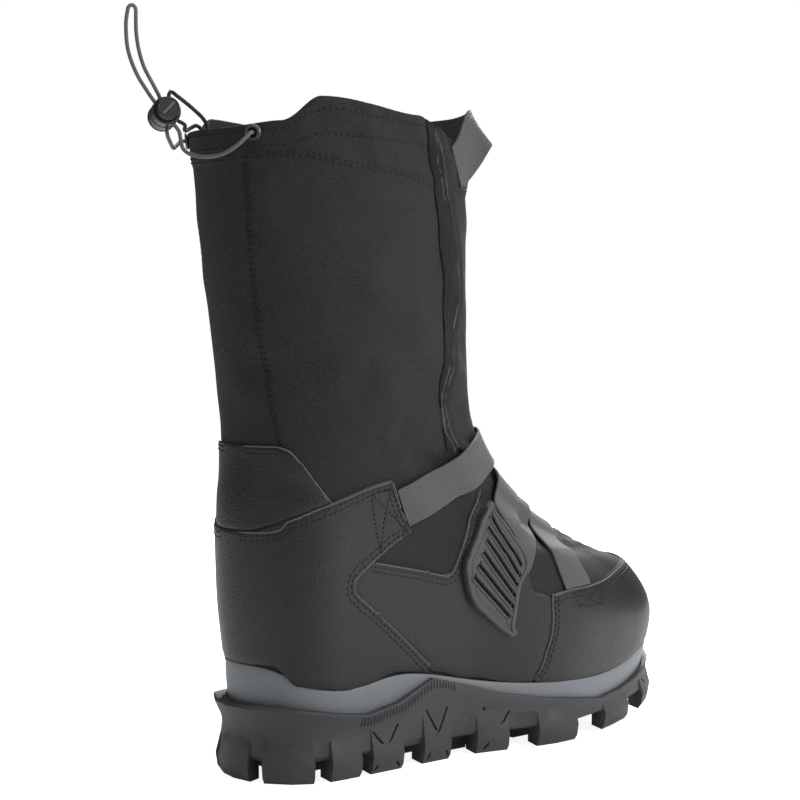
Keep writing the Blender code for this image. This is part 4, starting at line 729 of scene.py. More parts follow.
def tree_of(items, grid=None):
    """Search tree over the faces of some shown objects and of a grid."""
    points, faces = [], []
    if grid:
        points = [Vector(point) for point in grid.points.reshape(-1, 3)]
        faces = [tuple(i * grid.points.shape[1] + j for i, j in corners) for corners in all_faces(grid)]
    for item in items:
        start = len(points)
        points.extend(item.matrix_world @ vert.co for vert in item.data.vertices)
        faces.extend(tuple(start + index for index in face.vertices) for face in item.data.polygons)
    return BVHTree.FromPolygons(points, faces)


def even_line(points, step):
    """A bent line at even steps, on a smooth curve through its points."""
    points = [np.array(point, float) for point in points]
    ends = [2 * points[0] - points[1]] + points + [2 * points[-1] - points[-2]]
    fine = []
    for index in range(len(points) - 1):
        fine.extend(catmull(*ends[index:index + 4], part / 10.0) for part in range(10))
    fine = np.array(fine + [points[-1]])
    runs = np.concatenate([[0.0], np.cumsum(np.linalg.norm(np.diff(fine, axis=0), axis=1))])
    count = max(2, int(round(runs[-1] / step)) + 1)
    spots = np.linspace(0.0, runs[-1], count)
    return np.stack([np.interp(spots, runs, fine[:, axis]) for axis in range(fine.shape[1])], 1)


def from_side(skin, x, side, z):
    """Point and normal of the face met from one side at a place in side view."""
    return skin.ray_cast(Vector((x, side * RAY_START, z)), Vector((0.0, -side, 0.0)))[:2]


def laid_from_side(points, side, skin):
    return [hit for hit in (from_side(skin, x, side, z) for x, z in points) if hit[0]]


def side_line(outline, side, skin):
    """Line in side view laid on the near half of the boot, as points with normals."""
    laid = laid_from_side(even_line(side_points(outline), LINE_STEP), side, skin)
    return [(point, normal) for point, normal in laid if point.y * side > -0.012 and abs(normal.y) > 0.03]


def near_line(points, skin):
    """Line through points in space laid on the nearest skin, as points with normals."""
    return [skin.find_nearest(Vector(point))[:2] for point in even_line(points, LINE_STEP)]


def turn_line(ends, skin):
    """Line through turns and levels, laid on the skin."""
    return near_line([point_at(turn, level) for turn, level in ends], skin)


def shifted(line, across):
    """Line moved sideways on its surface."""
    moved = []
    for index, (point, normal) in enumerate(line):
        before, after = line[max(index - 1, 0)][0], line[min(index + 1, len(line) - 1)][0]
        side = normal.cross(after - before)
        if side.length > 1e-9:
            moved.append((point + side.normalized() * across, normal))
    return moved


def relaid(line, skin):
    """Line laid again on the highest skin under its points."""
    laid = []
    for point, normal in line:
        hit = skin.ray_cast(point + normal * 0.005, -normal, 0.009)
        if hit[0]:
            laid.append((hit[0], normal))
    return laid


def stitch_row(places, line, across=0.0, length=0.0026, gap=0.0010, thick=0.00042, skin=None):
    """Adds the places of one row of sewn stitches along a line: rounded dashes half sunk in the face."""
    line = shifted(line, across)
    if skin:
        line = relaid(line, skin)
    run, next_at = 0.0, 0.5 * length
    for (a, normal), (b, _) in zip(line, line[1:]):
        span = (b - a).length
        if span < 1e-7 or span > 0.01:
            run += span
            next_at = max(next_at, run)
            continue
        while next_at <= run + span:
            at = a.lerp(b, (next_at - run) / span)
            way = (b - a).normalized()
            out = (normal - way * normal.dot(way)).normalized()
            turned = Matrix((out.cross(way), out, way)).transposed().to_4x4()
            size = Matrix.Diagonal((thick * 1.15, thick * 0.8, 0.5 * length, 1.0))
            spot = Matrix.Translation(at + out * thick * 0.25)
            places.append(spot @ turned @ size)
            next_at += length + gap
        run += span


def strip(mesh, line, profile):
    """Adds a bar along a line on the surface. The profile gives points across and out."""
    rows = []
    for index, (point, normal) in enumerate(line):
        before, after = line[max(index - 1, 0)][0], line[min(index + 1, len(line) - 1)][0]
        side = normal.cross(after - before)
        if side.length < 1e-9:
            continue
        side.normalize()
        rows.append([mesh.verts.new(point + side * across + normal * out) for across, out in profile])
    count = len(profile)
    for low, high in zip(rows, rows[1:]):
        for index in range(count):
            following = (index + 1) % count
            mesh.faces.new((low[index], low[following], high[following], high[index])).smooth = True
    if rows:
        mesh.faces.new(rows[0])
        mesh.faces.new(rows[-1])


def round_profile(width, height, count=8, sunk=0.0003):
    """Low dome across a width, closed below the surface."""
    made = []
    for index in range(count + 1):
        angle = math.pi * index / count
        rise = height * math.sin(angle) - (sunk if index in (0, count) else 0.0)
        made.append((-0.5 * width * math.cos(angle), rise))
    return made


def unbroken(line):
    """Runs of a line, which ends where the skin under it does."""
    runs = [line[:1]]
    for before, after in zip(line, line[1:]):
        if (after[0] - before[0]).length > LINE_GAP:
            runs.append([])
        runs[-1].append(after)
    return runs


def strip_piece(name, lines, profile, paint, slot):
    mesh = bmesh.new()
    for line in lines:
        for run in unbroken(line):
            if len(run) > 2:
                strip(mesh, run, profile)
    bmesh.ops.recalc_face_normals(mesh, faces=mesh.faces)
    uv_layer = mesh.loops.layers.uv.new("lay")
    for face in mesh.faces:
        for loop in face.loops:
            loop[uv_layer].uv = (loop.vert.co.x + loop.vert.co.y, loop.vert.co.z)
    return place(publish(name, mesh, [paint]), slot)


# Webbing


def averaged(grid, combine):
    """Each cell of a grid combined with its neighbours."""
    rows, columns = grid.shape[:2]
    made = grid.copy()
    for i in range(rows):
        for j in range(columns):
            near = grid[max(i - 1, 0):min(i + 2, rows), max(j - 1, 0):min(j + 2, columns)]
            made[i, j] = combine(near.reshape(-1, *grid.shape[2:]))
    return made


def mean(values):
    return values.mean(0)


def highest(values):
    return values.max(0)


def drape(route, base, skin, rows=36, columns=7):
    """Rows of points where webbing lies on the body and on whatever it crosses, with outward normals."""
    size = np.array((FOOT_LENGTH, BALL_WIDTH, INSTEP_HEIGHT))
    route = [np.array(share) * size - (HEEL_SETBACK, 0.0, 0.0) for share in route]
    line = even_line(route, 0.003)
    picks = np.linspace(0, len(line) - 1, rows)
    centres = [base.find_nearest(Vector(line[int(round(pick))]))[:2] for pick in picks]
    reach = 0.03
    spots, normals = np.zeros((rows, columns, 3)), np.zeros((rows, columns, 3))
    heights = np.zeros((rows, columns))
    for i, (seat, normal) in enumerate(centres):
        along = centres[min(i + 2, rows - 1)][0] - centres[max(i - 2, 0)][0]
        side = normal.cross(along).normalized() * WEBBING_WIDTH
        for j in range(columns):
            spot, outward = base.find_nearest(seat + side * (j / (columns - 1) - 0.5))[:2]
            hit = skin.ray_cast(spot + outward * reach, -outward, reach + 0.002)
            spots[i, j], normals[i, j] = spot, outward
            heights[i, j] = reach - hit[3] if hit[0] else 0.0
    normals = averaged(averaged(normals, mean), mean)
    heights = averaged(heights, highest)
    raised = averaged(averaged(averaged(averaged(heights, highest), highest), mean), mean)
    normals /= np.linalg.norm(normals, axis=2, keepdims=True)
    return spots + normals * (np.maximum(heights, raised) + WEBBING_LIFT)[..., None]


def refined(points, step=0.0016):
    """Coarse rows and columns as an even fine grid, with columns close to both edges."""
    rows, columns = points.shape[:2]
    shares = np.linspace(0, 1, columns)
    wide = np.stack([np.stack([np.interp(ACROSS, shares, points[i, :, axis]) for axis in range(3)], 1)
                     for i in range(rows)])
    ends = np.concatenate([2 * wide[:1] - wide[1:2], wide, 2 * wide[-1:] - wide[-2:-1]])
    length = np.linalg.norm(np.diff(points[:, columns // 2], axis=0), axis=1).sum()
    parts = max(2, int(round(length / (rows - 1) / step)))
    fine = []
    for index in range(rows - 1):
        fine.extend(catmull(*ends[index:index + 4], part / parts) for part in range(parts))
    return with_normals(np.array(fine + [wide[-1]]), False)


def refined_rows(table, stations, step=0.0015):
    """Grid of a standing webbing loop between its upper and lower edge."""
    size = np.array((SHAFT_DEPTH, SHAFT_WIDTH, SHAFT_HEIGHT))
    origin = np.array((-HEEL_SETBACK, 0.0, INSTEP_HEIGHT))
    edges = []
    for columns in ((0, 3), (3, 6)):
        line = even_line([origin + np.array(row[columns[0]:columns[1]]) * size for row in table], step)
        picks = np.linspace(0, len(line) - 1, stations)
        edges.append(np.stack([np.interp(picks, range(len(line)), line[:, axis]) for axis in range(3)], 1))
    high, low = edges
    return np.stack([high + (low - high) * share for share in ACROSS], 1)


def facing_out(grid, centre=Vector((0.03, 0.0, 0.15))):
    """Grid with its columns reversed if its normals point inwards."""
    middle = grid.points[grid.points.shape[0] // 2, grid.points.shape[1] // 2]
    normal = grid.normals[grid.points.shape[0] // 2, grid.points.shape[1] // 2]
    if np.dot(normal, middle - np.array(centre)) < 0:
        return with_normals(grid.points[:, ::-1], False)
    return grid


def grown(outline, distance):
    """Outline moved out all round by a distance."""
    count = len(outline)
    area = sum(outline[i][0] * outline[(i + 1) % count][1] - outline[(i + 1) % count][0] * outline[i][1]
               for i in range(count))
    turned = distance if area > 0.0 else -distance
    moved = []
    for i in range(count):
        before, here, after = outline[i - 1], outline[i], outline[(i + 1) % count]
        first = (here - before) / np.linalg.norm(here - before)
        second = (after - here) / np.linalg.norm(after - here)
        out = np.array((first[1] + second[1], -first[0] - second[0]))
        size = np.linalg.norm(out)
        moved.append(here + out / size * turned / max(0.5, 0.5 * size))
    return moved


# Piece groups


# Closed outlines of the panels in side view.
OUTLINES = {
    "heel": HEEL_TAB + ((0.345, 0.0), (-0.20, 0.0)),
    "toe": TOE_CAP + ((1.20, 0.0), (0.566, 0.0)) + TOE_CAP_REAR,
    "quarter": QUARTER + ((0.566, 0.0), (0.10, 0.0)),
    "patch": ANKLE_PATCH,
    "flap_outer": FLAP_EDGE_OUTER + FLAP_REST,
    "flap_inner": FLAP_EDGE_INNER + FLAP_REST,
}


def build_upper(paint, scale):
    body, plain = make_body(scale)
    rows, columns = body.points.shape[:2]
    roll = [(0.0004, -0.0003), (0.0007, -0.0012), (0.0004, -0.0021), (-0.0003, -UPPER_WALL)]
    up = body.points[-1] - body.points[-2]
    up /= np.linalg.norm(up, axis=1, keepdims=True)
    rim = np.array([body.points[-1] + up * rise + body.normals[-1] * out for rise, out in roll])
    inner_picks = list(range(rows - 3, -1, -3))
    inner = np.array([body.points[index] - body.normals[index] * UPPER_WALL for index in inner_picks])
    mesh = bmesh.new()
    uv_layer = mesh.loops.layers.uv.new("lay")
    stack = np.concatenate([body.points, rim, inner])
    heights = np.concatenate([body.uv[..., 1], np.repeat(body.uv[-1:, :, 1], len(roll), 0),
                              body.uv[inner_picks][..., 1]])
    around = np.concatenate([body.uv[..., 0], np.repeat(body.uv[-1:, :, 0], len(roll), 0),
                             body.uv[inner_picks][..., 0]])
    verts = [[mesh.verts.new(point) for point in row] for row in stack]
    total = len(stack)
    for i in range(total):
        k = (i + 1) % total
        for j in range(columns):
            following = (j + 1) % columns
            face = mesh.faces.new((verts[i][j], verts[i][following], verts[k][following], verts[k][j]))
            face.smooth = True
            face.material_index = 1 if i >= rows + 1 else 0
            right = around[i][j] + 0.0025 if following == 0 else around[i][following]
            left = around[i][j]
            spots = ((left, heights[i][j]), (right, heights[i][following]), (right, heights[k][following]),
                     (left, heights[k][j]))
            for loop, spot in zip(face.loops, spots):
                loop[uv_layer].uv = spot
    made = publish("upper_cloth", mesh, [paint["textile"], paint["lining"]])
    place(made, "textile", "upper")
    return body, plain, made


def build_panels(body, paint):
    over_band = band_top(body.points)
    fields = {kind: signed_distance(body.points, side_points(outline)) for kind, outline in OUTLINES.items()}
    outer_half = np.array([turn % 1.0 < 0.5 for turn in TURNS])[None, :]
    flap = np.where(outer_half, fields["flap_outer"], fields["flap_inner"])
    low_flap = np.array([6.5 - level for level in LEVELS])[:, None] * 0.012
    gap = CLEARANCE
    quarter = np.maximum.reduce([fields["quarter"], gap - fields["heel"], gap - fields["toe"], -over_band])
    made = {
        "heel_panel": (np.maximum(fields["heel"], -over_band), HEEL_PANEL_FACE, 0.0006),
        "ankle_patch": (np.maximum(fields["patch"], gap - fields["heel"]), PATCH_FACE, 0.0004),
        "toe_cap": (np.maximum(fields["toe"], -over_band), TOE_CAP_FACE, 0.0005),
        "quarters": (quarter, PATCH_FACE, 0.0004),
        "front_flap": (np.maximum(-flap, low_flap), FLAP_FACE, 0.0008),
    }
    shown = {}
    for name, (signed, top, chamfer) in made.items():
        grid, faces = cut(body, signed)
        cloth = paint["flap"] if name == "front_flap" else paint["leather"]
        item = build_sheet(name + "_skin", grid, faces, top, -SKIN_SINK, [cloth, paint["cut"]], chamfer)
        nodes = ("quarter_outer", "quarter_inner") if name == "quarters" else (name,)
        place(item, "textile" if name == "front_flap" else "leatherette", *nodes)
        shown[name] = item
    return shown


def build_straps(shown, paint):
    base = tree_of([], STATE["plain"])
    heel_room = grown(side_points(OUTLINES["heel"]), CLEARANCE)
    toe_room = grown(side_points(OUTLINES["toe"]), CLEARANCE)
    tab_room = grown(side_points(PULL_TAB), CLEARANCE)
    rooms = {"strap_toe": toe_room, "strap_lower_leg": tab_room, "strap_upper_leg": tab_room,
             "strap_ankle": heel_room}
    under = [STATE["upper"], shown["front_flap"], shown["quarters"]]
    for name, route in STRAPS:
        grid = facing_out(refined(drape(route, base, tree_of(under))))
        field = signed_distance(grid.points, rooms[name])
        field = np.where(grid.points[..., 1] > 0.0, -0.05, -field)
        cut_grid, faces = cut(grid, field)
        item = build_sheet(name + "_webbing", cut_grid, faces, WEBBING_THICKNESS, 0.0,
                           [paint["webbing"], paint["selvedge"]], SELVEDGE_ROUND, closed=True)
        place(item, "webbing", name)
        under.append(item)


def smooth_copy(node, name, paint):
    """Merged copy of a moulded node, rounded between its edges, which stay crisp."""
    mesh = bmesh.new()
    mesh.from_mesh(NODES[node].data)
    bmesh.ops.remove_doubles(mesh, verts=mesh.verts, dist=1e-5)
    bmesh.ops.join_triangles(mesh, faces=mesh.faces, angle_face_threshold=0.7, angle_shape_threshold=1.2)
    crease = mesh.edges.layers.float.new("crease_edge")
    for edge in mesh.edges:
        if len(edge.link_faces) != 2 or edge.calc_face_angle(0.0) > CRISP_ANGLE:
            edge[crease] = 0.85
    for face in mesh.faces:
        face.smooth = True
    return publish(name, mesh, [paint])


def build_sole(paint):
    """Rounded midsole and outsole, with crossed grooves in the lugs' faces and ribs under the grey band."""
    band = smooth_copy("midsole", "midsole_band", paint["band"])
    rounding = band.modifiers.new("rounding", "SUBSURF")
    rounding.levels = rounding.render_levels = 2
    place(band, "midsole_rubber", "midsole")
    outsole = smooth_copy("outsole", "outsole_tread", paint["rubber"])
    place(outsole, "outsole_rubber", "outsole")
    tree = tree_of([NODES["outsole"]])
    bars = bmesh.new()
    ribs = []
    for side in (-1.0, 1.0):
        for back, front in SIDE_LUGS:
            corners = []
            for place_share in (back + 0.006, front - 0.006):
                x = place_share * FOOT_LENGTH - HEEL_SETBACK
                top = table_value(WALL_TOP, place_share, 1) * HEEL_BED
                for z in (tread_height(x) + 0.002, tread_height(x) + TREAD_DEPTH
                          + 0.55 * (top - TREAD_DEPTH - tread_height(x))):
                    corners.append(from_side(tree, x, side, z))
            if any(point is None for point, _ in corners):
                continue
            for a, b in ((0, 3), (1, 2)):
                start, stop = corners[a][0], corners[b][0]
                way = (stop - start).normalized()
                out = (corners[a][1] + corners[b][1]).normalized()
                out = (out - way * out.dot(way)).normalized()
                turned = Matrix((out.cross(way), out, way)).transposed().to_4x4()
                size = Matrix.Diagonal((0.0013, 0.0024, (stop - start).length * 0.96, 1.0))
                centre = Matrix.Translation(start.lerp(stop, 0.5))
                bmesh.ops.create_cube(bars, size=1.0, matrix=centre @ turned @ size)
        for step in range(31):
            x = 0.016 + 0.0023 * step
            top = table_value(WALL_TOP, (x + HEEL_SETBACK) / FOOT_LENGTH, 1) * HEEL_BED - 0.0012
            ribs.append(laid_from_side([(x, z) for z in np.linspace(top - 0.0052, top, 5)], side, tree))
    cutter = publish("groove_bars", bars, [])
    cutter.hide_render = cutter.hide_viewport = True
    grooves = outsole.modifiers.new("grooves", "BOOLEAN")
    grooves.operation, grooves.solver, grooves.object = "DIFFERENCE", "EXACT", cutter
    grooves.use_self = True
    outsole.data.set_sharp_from_angle(angle=CRISP_ANGLE)
    softened = outsole.modifiers.new("softened", "BEVEL")
    softened.width, softened.segments = 0.0005, 2
    softened.limit_method, softened.angle_limit = "ANGLE", 0.75
    strip_piece("sole_ribs", ribs, round_profile(0.0011, 0.0006, 4), paint["rubber"], "outsole_rubber")


def add_pull_loop(paint):
    """Standing loop, kept clear of the flap."""
    base = tree_of([], STATE["plain"])
    points = refined_rows(PULL_LOOP, 110)
    least = FLAP_FACE + WEBBING_LIFT
    for i in range(points.shape[0]):
        for j in range(points.shape[1]):
            seat, normal = base.find_nearest(Vector(points[i, j]))[:2]
            if (Vector(points[i, j]) - seat).dot(normal) < least:
                points[i, j] = seat + normal * least
    grid = facing_out(with_normals(points, False))
    item = build_sheet("pull_loop_webbing", grid, all_faces(grid), WEBBING_THICKNESS, 0.0,
                       [paint["webbing"], paint["selvedge"]], SELVEDGE_ROUND, closed=True)
    place(item, "webbing", "pull_loop")


class OvershoeSizes(bpy.types.PropertyGroup):
    crease_scale: bpy.props.FloatProperty(name="Creases", description="Share of the folds' full depth",
                                          default=1.0, min=0.0, max=1.5)
    stitch_length: bpy.props.FloatProperty(name="Stitch", description="Length of one stitch", default=0.0026,
                                           unit="LENGTH", min=0.001)
    key_power: bpy.props.FloatProperty(name="Key light", description="Power of the large softbox in watts",
                                       default=15.0, min=0.0)
    floor_tone: bpy.props.FloatVectorProperty(name="Floor", description="Colour of the floor",
                                              subtype="COLOR", default=(0.90, 0.90, 0.90))


def softbox(name, power, size, position, target=(0.03, 0.0, 0.15)):
    data = bpy.data.lights.new(name, "AREA")
    data.energy, data.shape, data.size, data.size_y = power, "RECTANGLE", size[0], size[1]
    made = bpy.data.objects.new(name, data)
    bpy.context.scene.collection.objects.link(made)
    made.location = position
    made.rotation_euler = (Vector(target) - Vector(position)).to_track_quat("-Z", "Y").to_euler()
    return made


class OBJECT_OT_overshoe_stage(bpy.types.Operator):
    """Adds the camera of the photo, a pale floor and soft studio light"""
    bl_idname = "object.overshoe_stage"
    bl_label = "Stage"

    def execute(self, context):
        sizes = context.scene.overshoe
        data = bpy.data.cameras.new("photo_camera")
        data.lens, data.sensor_width = 86.4, 36.0
        camera = bpy.data.objects.new("photo_camera", data)
        context.scene.collection.objects.link(camera)
        camera.location = (-0.64417, -0.89380, 0.270)
        camera.rotation_euler = (math.radians(87.02), 0.0, math.radians(-39.0))
        context.scene.camera = camera
        mesh = bmesh.new()
        bmesh.ops.create_grid(mesh, x_segments=1, y_segments=1, size=6.0)
        paint = bpy.data.materials.new("pale_floor")
        paint.use_nodes = True
        shader = paint.node_tree.nodes["Principled BSDF"]
        shader.inputs["Base Color"].default_value = (*sizes.floor_tone, 1.0)
        shader.inputs["Roughness"].default_value = 0.9
        shader.inputs["Emission Color"].default_value = (1.0, 1.0, 1.0, 1.0)
        glow = add(paint.node_tree, "ShaderNodeLightPath", -500)
        strength = set_math(paint.node_tree, "MULTIPLY", glow.outputs["Is Camera Ray"], 0.80, -300)
        paint.node_tree.links.new(set_math(paint.node_tree, "ADD", strength, 0.10, -150),
                                  shader.inputs["Emission Strength"])
        floor = publish("floor", mesh, [paint])
        floor.location.z = -0.0002
        softbox("softbox_key", sizes.key_power, (0.8, 1.0), (0.73, -1.21, 0.95))
        softbox("softbox_top", 8.0, (1.2, 1.2), (0.2, 0.0, 1.7))
        softbox("softbox_left", 1.0, (0.6, 1.2), (-1.2, -0.2, 0.7))
        softbox("softbox_rim", 22.0, (0.5, 1.0), (0.9, 0.7, 0.8))
        world = bpy.data.worlds.new("studio")
        world.use_nodes = True
        tree = world.node_tree
        back = tree.nodes["Background"]
        back.inputs["Color"].default_value = (1.0, 1.0, 1.0, 1.0)
        path = add(tree, "ShaderNodeLightPath", -500)
        seen = set_math(tree, "MULTIPLY", path.outputs["Is Camera Ray"], 0.88, -300)
        tree.links.new(set_math(tree, "ADD", seen, 0.12, -150), back.inputs["Strength"])
        context.scene.world = world
        context.scene.view_settings.view_transform = "Standard"
        return {"FINISHED"}


class OBJECT_OT_overshoe_cords(bpy.types.Operator):
    """Adds the elastic drawcord's strands, its loop and its tethers"""
    bl_idname = "object.overshoe_cords"
    bl_label = "Drawcord"

    def execute(self, context):
        paint = STATE["paint"]
        for name, route in CORD_ROUTES.items():
            points = even_line(route, 0.0015)
            data = bpy.data.curves.new(name + "_elastic", "CURVE")
            data.dimensions = "3D"
            data.bevel_depth, data.bevel_resolution = 0.5 * CORD_DIAMETER, 4
            data.use_fill_caps = True
            spline = data.splines.new("POLY")
            spline.points.add(len(points) - 1)
            for spot, point in zip(spline.points, points):
                spot.co = (*map(float, point), 1.0)
            data.materials.append(paint["tether" if name.startswith("tether") else "cord"])
            made = bpy.data.objects.new(name + "_elastic", data)
            context.scene.collection.objects.link(made)
            place(made, "cord", name)
        return {"FINISHED"}


class OBJECT_OT_overshoe_upper(bpy.types.Operator):
    """Adds the textile upper with its folds and lining"""
    bl_idname = "object.overshoe_upper"
    bl_label = "Upper"

    def execute(self, context):
        scale = context.scene.overshoe.crease_scale
        STATE["body"], STATE["plain"], STATE["upper"] = build_upper(STATE["paint"], scale)
        return {"FINISHED"}


class OBJECT_OT_overshoe_panels(bpy.types.Operator):
    """Adds the leatherette panels and the front flap"""
    bl_idname = "object.overshoe_panels"
    bl_label = "Panels"

    def execute(self, context):
        STATE["panels"] = build_panels(STATE["body"], STATE["paint"])
        return {"FINISHED"}


class OBJECT_OT_overshoe_webbing(bpy.types.Operator):
    """Adds the straps and the pull loop, and gives the keepers a webbing finish"""
    bl_idname = "object.overshoe_webbing"
    bl_label = "Webbing"

    def execute(self, context):
        build_straps(STATE["panels"], STATE["paint"])
        add_pull_loop(STATE["paint"])
        for name in ("keeper_upper", "keeper_lower"):
            NODES[name].data.materials.clear()
            NODES[name].data.materials.append(STATE["paint"]["webbing_plain"])
        return {"FINISHED"}


class OBJECT_OT_overshoe_fittings(bpy.types.Operator):
    """Finishes the tab, rings, eyelets, cord lock, sole and insole"""
    bl_idname = "object.overshoe_fittings"
    bl_label = "Fittings and sole"

    def execute(self, context):
        paint = STATE["paint"]
        for node, finish in (("pull_tab", "tab"), ("ring_upper", "metal"), ("ring_lower", "metal"),
                             ("eyelet_near", "metal"), ("eyelet_far", "metal"), ("lock_barrel", "plastic"),
                             ("lock_button", "plastic"), ("insole", "felt")):
            NODES[node].data.materials.clear()
            NODES[node].data.materials.append(paint[finish])
        build_sole(paint)
        return {"FINISHED"}


class OBJECT_OT_overshoe_stitches(bpy.types.Operator):
    """Adds the sewn rows, bindings, cut edges and the hook tape"""
    bl_idname = "object.overshoe_stitches"
    bl_label = "Sewing"

    def execute(self, context):
        add_sewing(context.scene.overshoe.stitch_length)
        return {"FINISHED"}


def add_sewing(stitch):
    paint, panels = STATE["paint"], STATE["panels"]
    skin = tree_of(list(panels.values()), STATE["body"])
    mesh = []
    rows = (
        (HEEL_TAB[:7], (0.0024, 0.0050)), (HEEL_TAB[6:12], (0.0024, 0.0050)),
        (HEEL_TAB[11:], (0.0024, 0.0050)), (ANKLE_PATCH[:7], (0.0022, 0.0046)),
        (QUARTER[1:9], (0.0026, 0.0054)),
        (TOE_CAP[1:7], (0.0024, 0.0048)), (TOE_CAP_REAR + TOE_CAP[:2], (0.0024, 0.0048)),
    )
    edges = []
    for side in (-1.0, 1.0):
        for outline, shifts in rows:
            line = side_line(outline, side, skin)
            for shift in shifts:
                stitch_row(mesh, line, side * shift, stitch, skin=skin)
            edges.append(relaid(shifted(line, side * 0.0006), skin))
        for corners in (HEEL_X, TOE_X):
            for a, b in ((0, 1), (1, 2), (2, 3), (3, 0), (0, 2), (1, 3)):
                stitch_row(mesh, side_line((corners[a], corners[b]), side, skin), 0.0, 0.0020, 0.0008)
        for seam, places in ((BACK_SEAM, (-0.0012, 0.0012)), (COLLAR_SEAM, (-0.0010 * side, -0.0032 * side))):
            line = near_line([(x, -side * y, z) for x, y, z in seam], skin)
            for across in places:
                stitch_row(mesh, line, across, stitch, skin=skin)
    for level in (13.45, 13.80):
        hem = turn_line([(turn, level) for turn in np.linspace(0.0, 1.0, 41)], skin)
        stitch_row(mesh, hem, 0.0, stitch)
    flap_edge = side_line(FLAP_EDGE_OUTER[1:13], -1.0, skin)
    flap_inner = side_line(FLAP_EDGE_INNER[:4], 1.0, skin)
    stitch_row(mesh, flap_edge, -0.0064, stitch, skin=skin)
    stitch_row(mesh, flap_inner, 0.0052, stitch, skin=skin)
    for line in VAMP_SEAMS:
        laid = turn_line(line, skin)
        for across in (-0.0011, 0.0011):
            stitch_row(mesh, laid, across, 0.0022, 0.0009, skin=skin)
    publish_stitches("stitches", mesh, paint["thread"])
    strip_piece("cut_edges", edges, round_profile(0.0010, 0.00045, 4), paint["cut"], "leatherette")
    strip_piece("flap_binding", [relaid(shifted(flap_edge, -0.0022), skin),
                                 relaid(shifted(flap_inner, 0.0018), skin)],
                round_profile(0.0048, 0.0010), paint["binding_dark"], "textile")
    strip_piece("flap_piping", [relaid(shifted(flap_edge, -0.0004), skin),
                                relaid(shifted(flap_edge, -0.0046), skin)],
                round_profile(0.0011, 0.0013, 6), paint["binding"], "textile")
    add_hook_tape(paint["hook"])
    add_tab_relief(paint)
    add_lock_details(paint)


def add_hook_tape(paint):
    """Fuzzy tape between the shaft's front edge and the flap."""
    body = STATE["body"]
    outline = side_points(HOOK_EDGE + tuple(reversed(FLAP_EDGE_OUTER[1:13])))
    signed = signed_distance(body.points, outline)
    outer = np.array([turn % 1.0 < 0.5 for turn in TURNS])[None, :]
    signed = np.where(outer, signed, 0.05)
    grid, faces = cut(body, signed)
    fuzz = np.random.default_rng(7).uniform(-0.0003, 0.0003, signed.shape)
    grid = Grid(grid.points + grid.normals * fuzz[..., None], grid.normals, grid.uv, True)
    tape = build_sheet("hook_tape", grid, faces, 0.0011, -SKIN_SINK, [paint, paint], 0.0003)
    place(tape, "textile")


def add_tab_relief(paint):
    """Raised rim, beaded row and ridges between the slots of the moulded pull tab."""
    tab = tree_of([NODES["pull_tab"]])
    lines = []
    for offset in (0.0016, 0.0050):
        ring = grown(side_points(PULL_TAB), -offset)
        lines.append(laid_from_side(even_line(ring + ring[:1], 0.0010), -1.0, tab))
    strip_piece("tab_rim", lines[:1], round_profile(0.0024, 0.0008), paint["tab"], "tab_rubber")
    ridges = []
    for index in range(TAB_SLOTS):
        share = index / (TAB_SLOTS - 1)
        top, foot = (a + (b - a) * share for a, b in zip(side_points(FIRST_SLOT), side_points(LAST_SLOT)))
        away = np.array((foot[1] - top[1], top[0] - foot[0]))
        away /= np.linalg.norm(away)
        for across in (-0.0019, 0.0019):
            line = even_line([top + away * across, foot + away * across], LINE_STEP)
            ridges.append(laid_from_side(line, -1.0, tab))
    strip_piece("tab_ridges", ridges, round_profile(0.0017, 0.0007, 6), paint["tab"], "tab_rubber")
    beads = []
    stitch_row(beads, lines[1], 0.0, 0.0016, 0.0008, 0.00035)
    publish_stitches("tab_beading", beads, paint["tab"], "tab_rubber")


def ring_at(mesh, centre, axis, radius, wire):
    """Adds a round wire ring, turned round its own axis."""
    turned = axis.to_track_quat("Z", "Y").to_matrix().to_4x4()
    upright = Matrix.Translation((radius, 0, 0)) @ Matrix.Rotation(math.pi / 2, 4, "X")
    made = bmesh.ops.create_circle(mesh, segments=8, radius=wire, matrix=upright)
    bmesh.ops.spin(mesh, geom=made["verts"] + list({e for v in made["verts"] for e in v.link_edges}),
                   cent=(0, 0, 0), axis=(0, 0, 1), angle=2 * math.pi, steps=36, use_merge=True)
    fresh = [v for v in mesh.verts if not v.tag]
    bmesh.ops.transform(mesh, matrix=Matrix.Translation(centre) @ turned, verts=fresh)
    for v in mesh.verts:
        v.tag = True


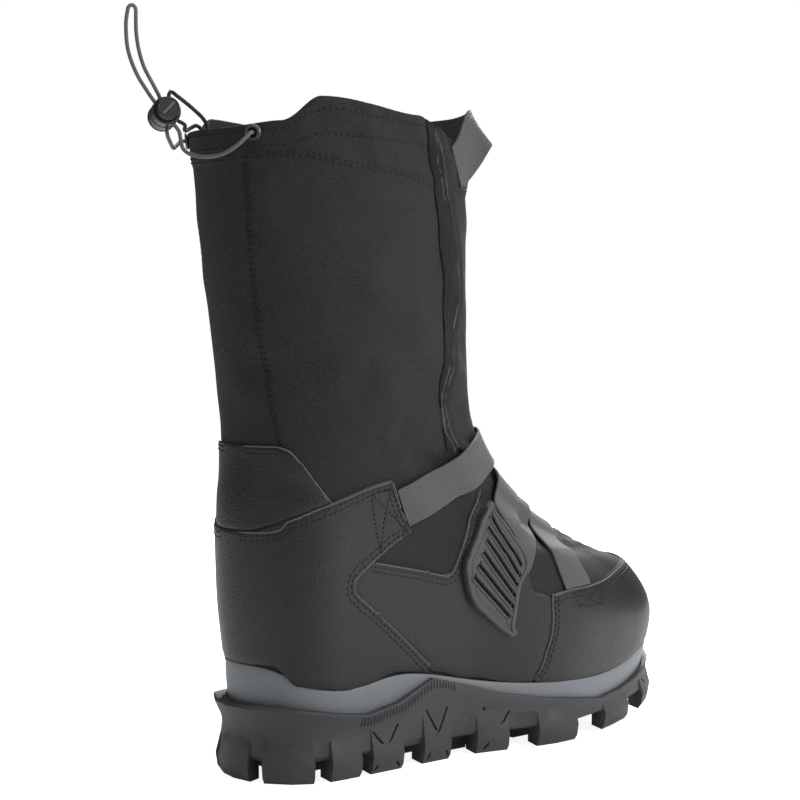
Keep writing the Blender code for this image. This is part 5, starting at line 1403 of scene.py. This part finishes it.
def add_lock_details(paint):
    """Moulded rings round the lock's barrel, and the slot on its button."""
    mesh = bmesh.new()
    for along in (-0.0068, 0.0, 0.0068):
        ring_at(mesh, LOCK_CENTRE + LOCK_AXIS * along, LOCK_AXIS, 0.00755, 0.00035)
    bmesh.ops.recalc_face_normals(mesh, faces=mesh.faces)
    for face in mesh.faces:
        face.smooth = True
    place(publish("lock_rings", mesh, [paint["plastic"]]), "lock_plastic")
    slot = bmesh.new()
    face = LOCK_CENTRE + LOCK_AXIS * (0.0075 + 0.0045)
    turned = LOCK_AXIS.to_track_quat("Z", "Y").to_matrix().to_4x4()
    bar = Matrix.Translation(face) @ turned @ Matrix.Rotation(0.8, 4, "Z")
    bmesh.ops.create_cube(slot, size=1.0, matrix=bar @ Matrix.Diagonal((0.0095, 0.0012, 0.0006, 1.0)))
    place(publish("button_bar", slot, [paint["cord"]]), "lock_plastic", body="button")
    rim = bmesh.new()
    ring_at(rim, face, LOCK_AXIS, 0.0056, 0.0004)
    for piece in rim.faces:
        piece.smooth = True
    place(publish("button_rim", rim, [paint["plastic"]]), "lock_plastic", body="button")


def publish_stitches(name, places, paint, slot="textile"):
    """One object of many stitches, each a copy of one small rounded bar."""
    shape = bmesh.new()
    bmesh.ops.create_uvsphere(shape, u_segments=6, v_segments=4, radius=1.0)
    corners = np.array([(*vert.co, 1.0) for vert in shape.verts])
    faces = [[vert.index for vert in face.verts] for face in shape.faces]
    shape.free()
    points = np.concatenate([corners @ np.array(spot).T for spot in places])[:, :3]
    data = bpy.data.meshes.new(name)
    count = len(corners)
    data.from_pydata(points.tolist(), [], [[index + count * copy for index in face]
                                           for copy in range(len(places)) for face in faces])
    data.shade_smooth()
    data.materials.append(paint)
    made = bpy.data.objects.new(name, data)
    bpy.context.scene.collection.objects.link(made)
    place(made, slot)


class VIEW3D_PT_overshoe(bpy.types.Panel):
    bl_label = "Winter Overshoe"
    bl_idname = "VIEW3D_PT_overshoe"
    bl_space_type = "VIEW_3D"
    bl_region_type = "UI"
    bl_category = "Overshoe"

    def draw(self, context):
        for name in ("crease_scale", "stitch_length", "key_power", "floor_tone"):
            self.layout.prop(context.scene.overshoe, name)
        for operator in STEPS:
            self.layout.operator(operator.bl_idname)


STEPS = (OBJECT_OT_overshoe_stage, OBJECT_OT_overshoe_cords, OBJECT_OT_overshoe_upper,
         OBJECT_OT_overshoe_panels, OBJECT_OT_overshoe_webbing, OBJECT_OT_overshoe_fittings,
         OBJECT_OT_overshoe_stitches)


def register():
    for item in (OvershoeSizes, *STEPS, VIEW3D_PT_overshoe):
        bpy.utils.register_class(item)
    bpy.types.Scene.overshoe = bpy.props.PointerProperty(type=OvershoeSizes)


def unregister():
    del bpy.types.Scene.overshoe
    for item in reversed((OvershoeSizes, *STEPS, VIEW3D_PT_overshoe)):
        bpy.utils.unregister_class(item)


def main():
    register()
    STATE["paint"] = make_finishes()
    for operator in STEPS:
        name = operator.bl_idname.split(".")[1]
        getattr(bpy.ops.object, name)()


if __name__ == "__main__":
    main()
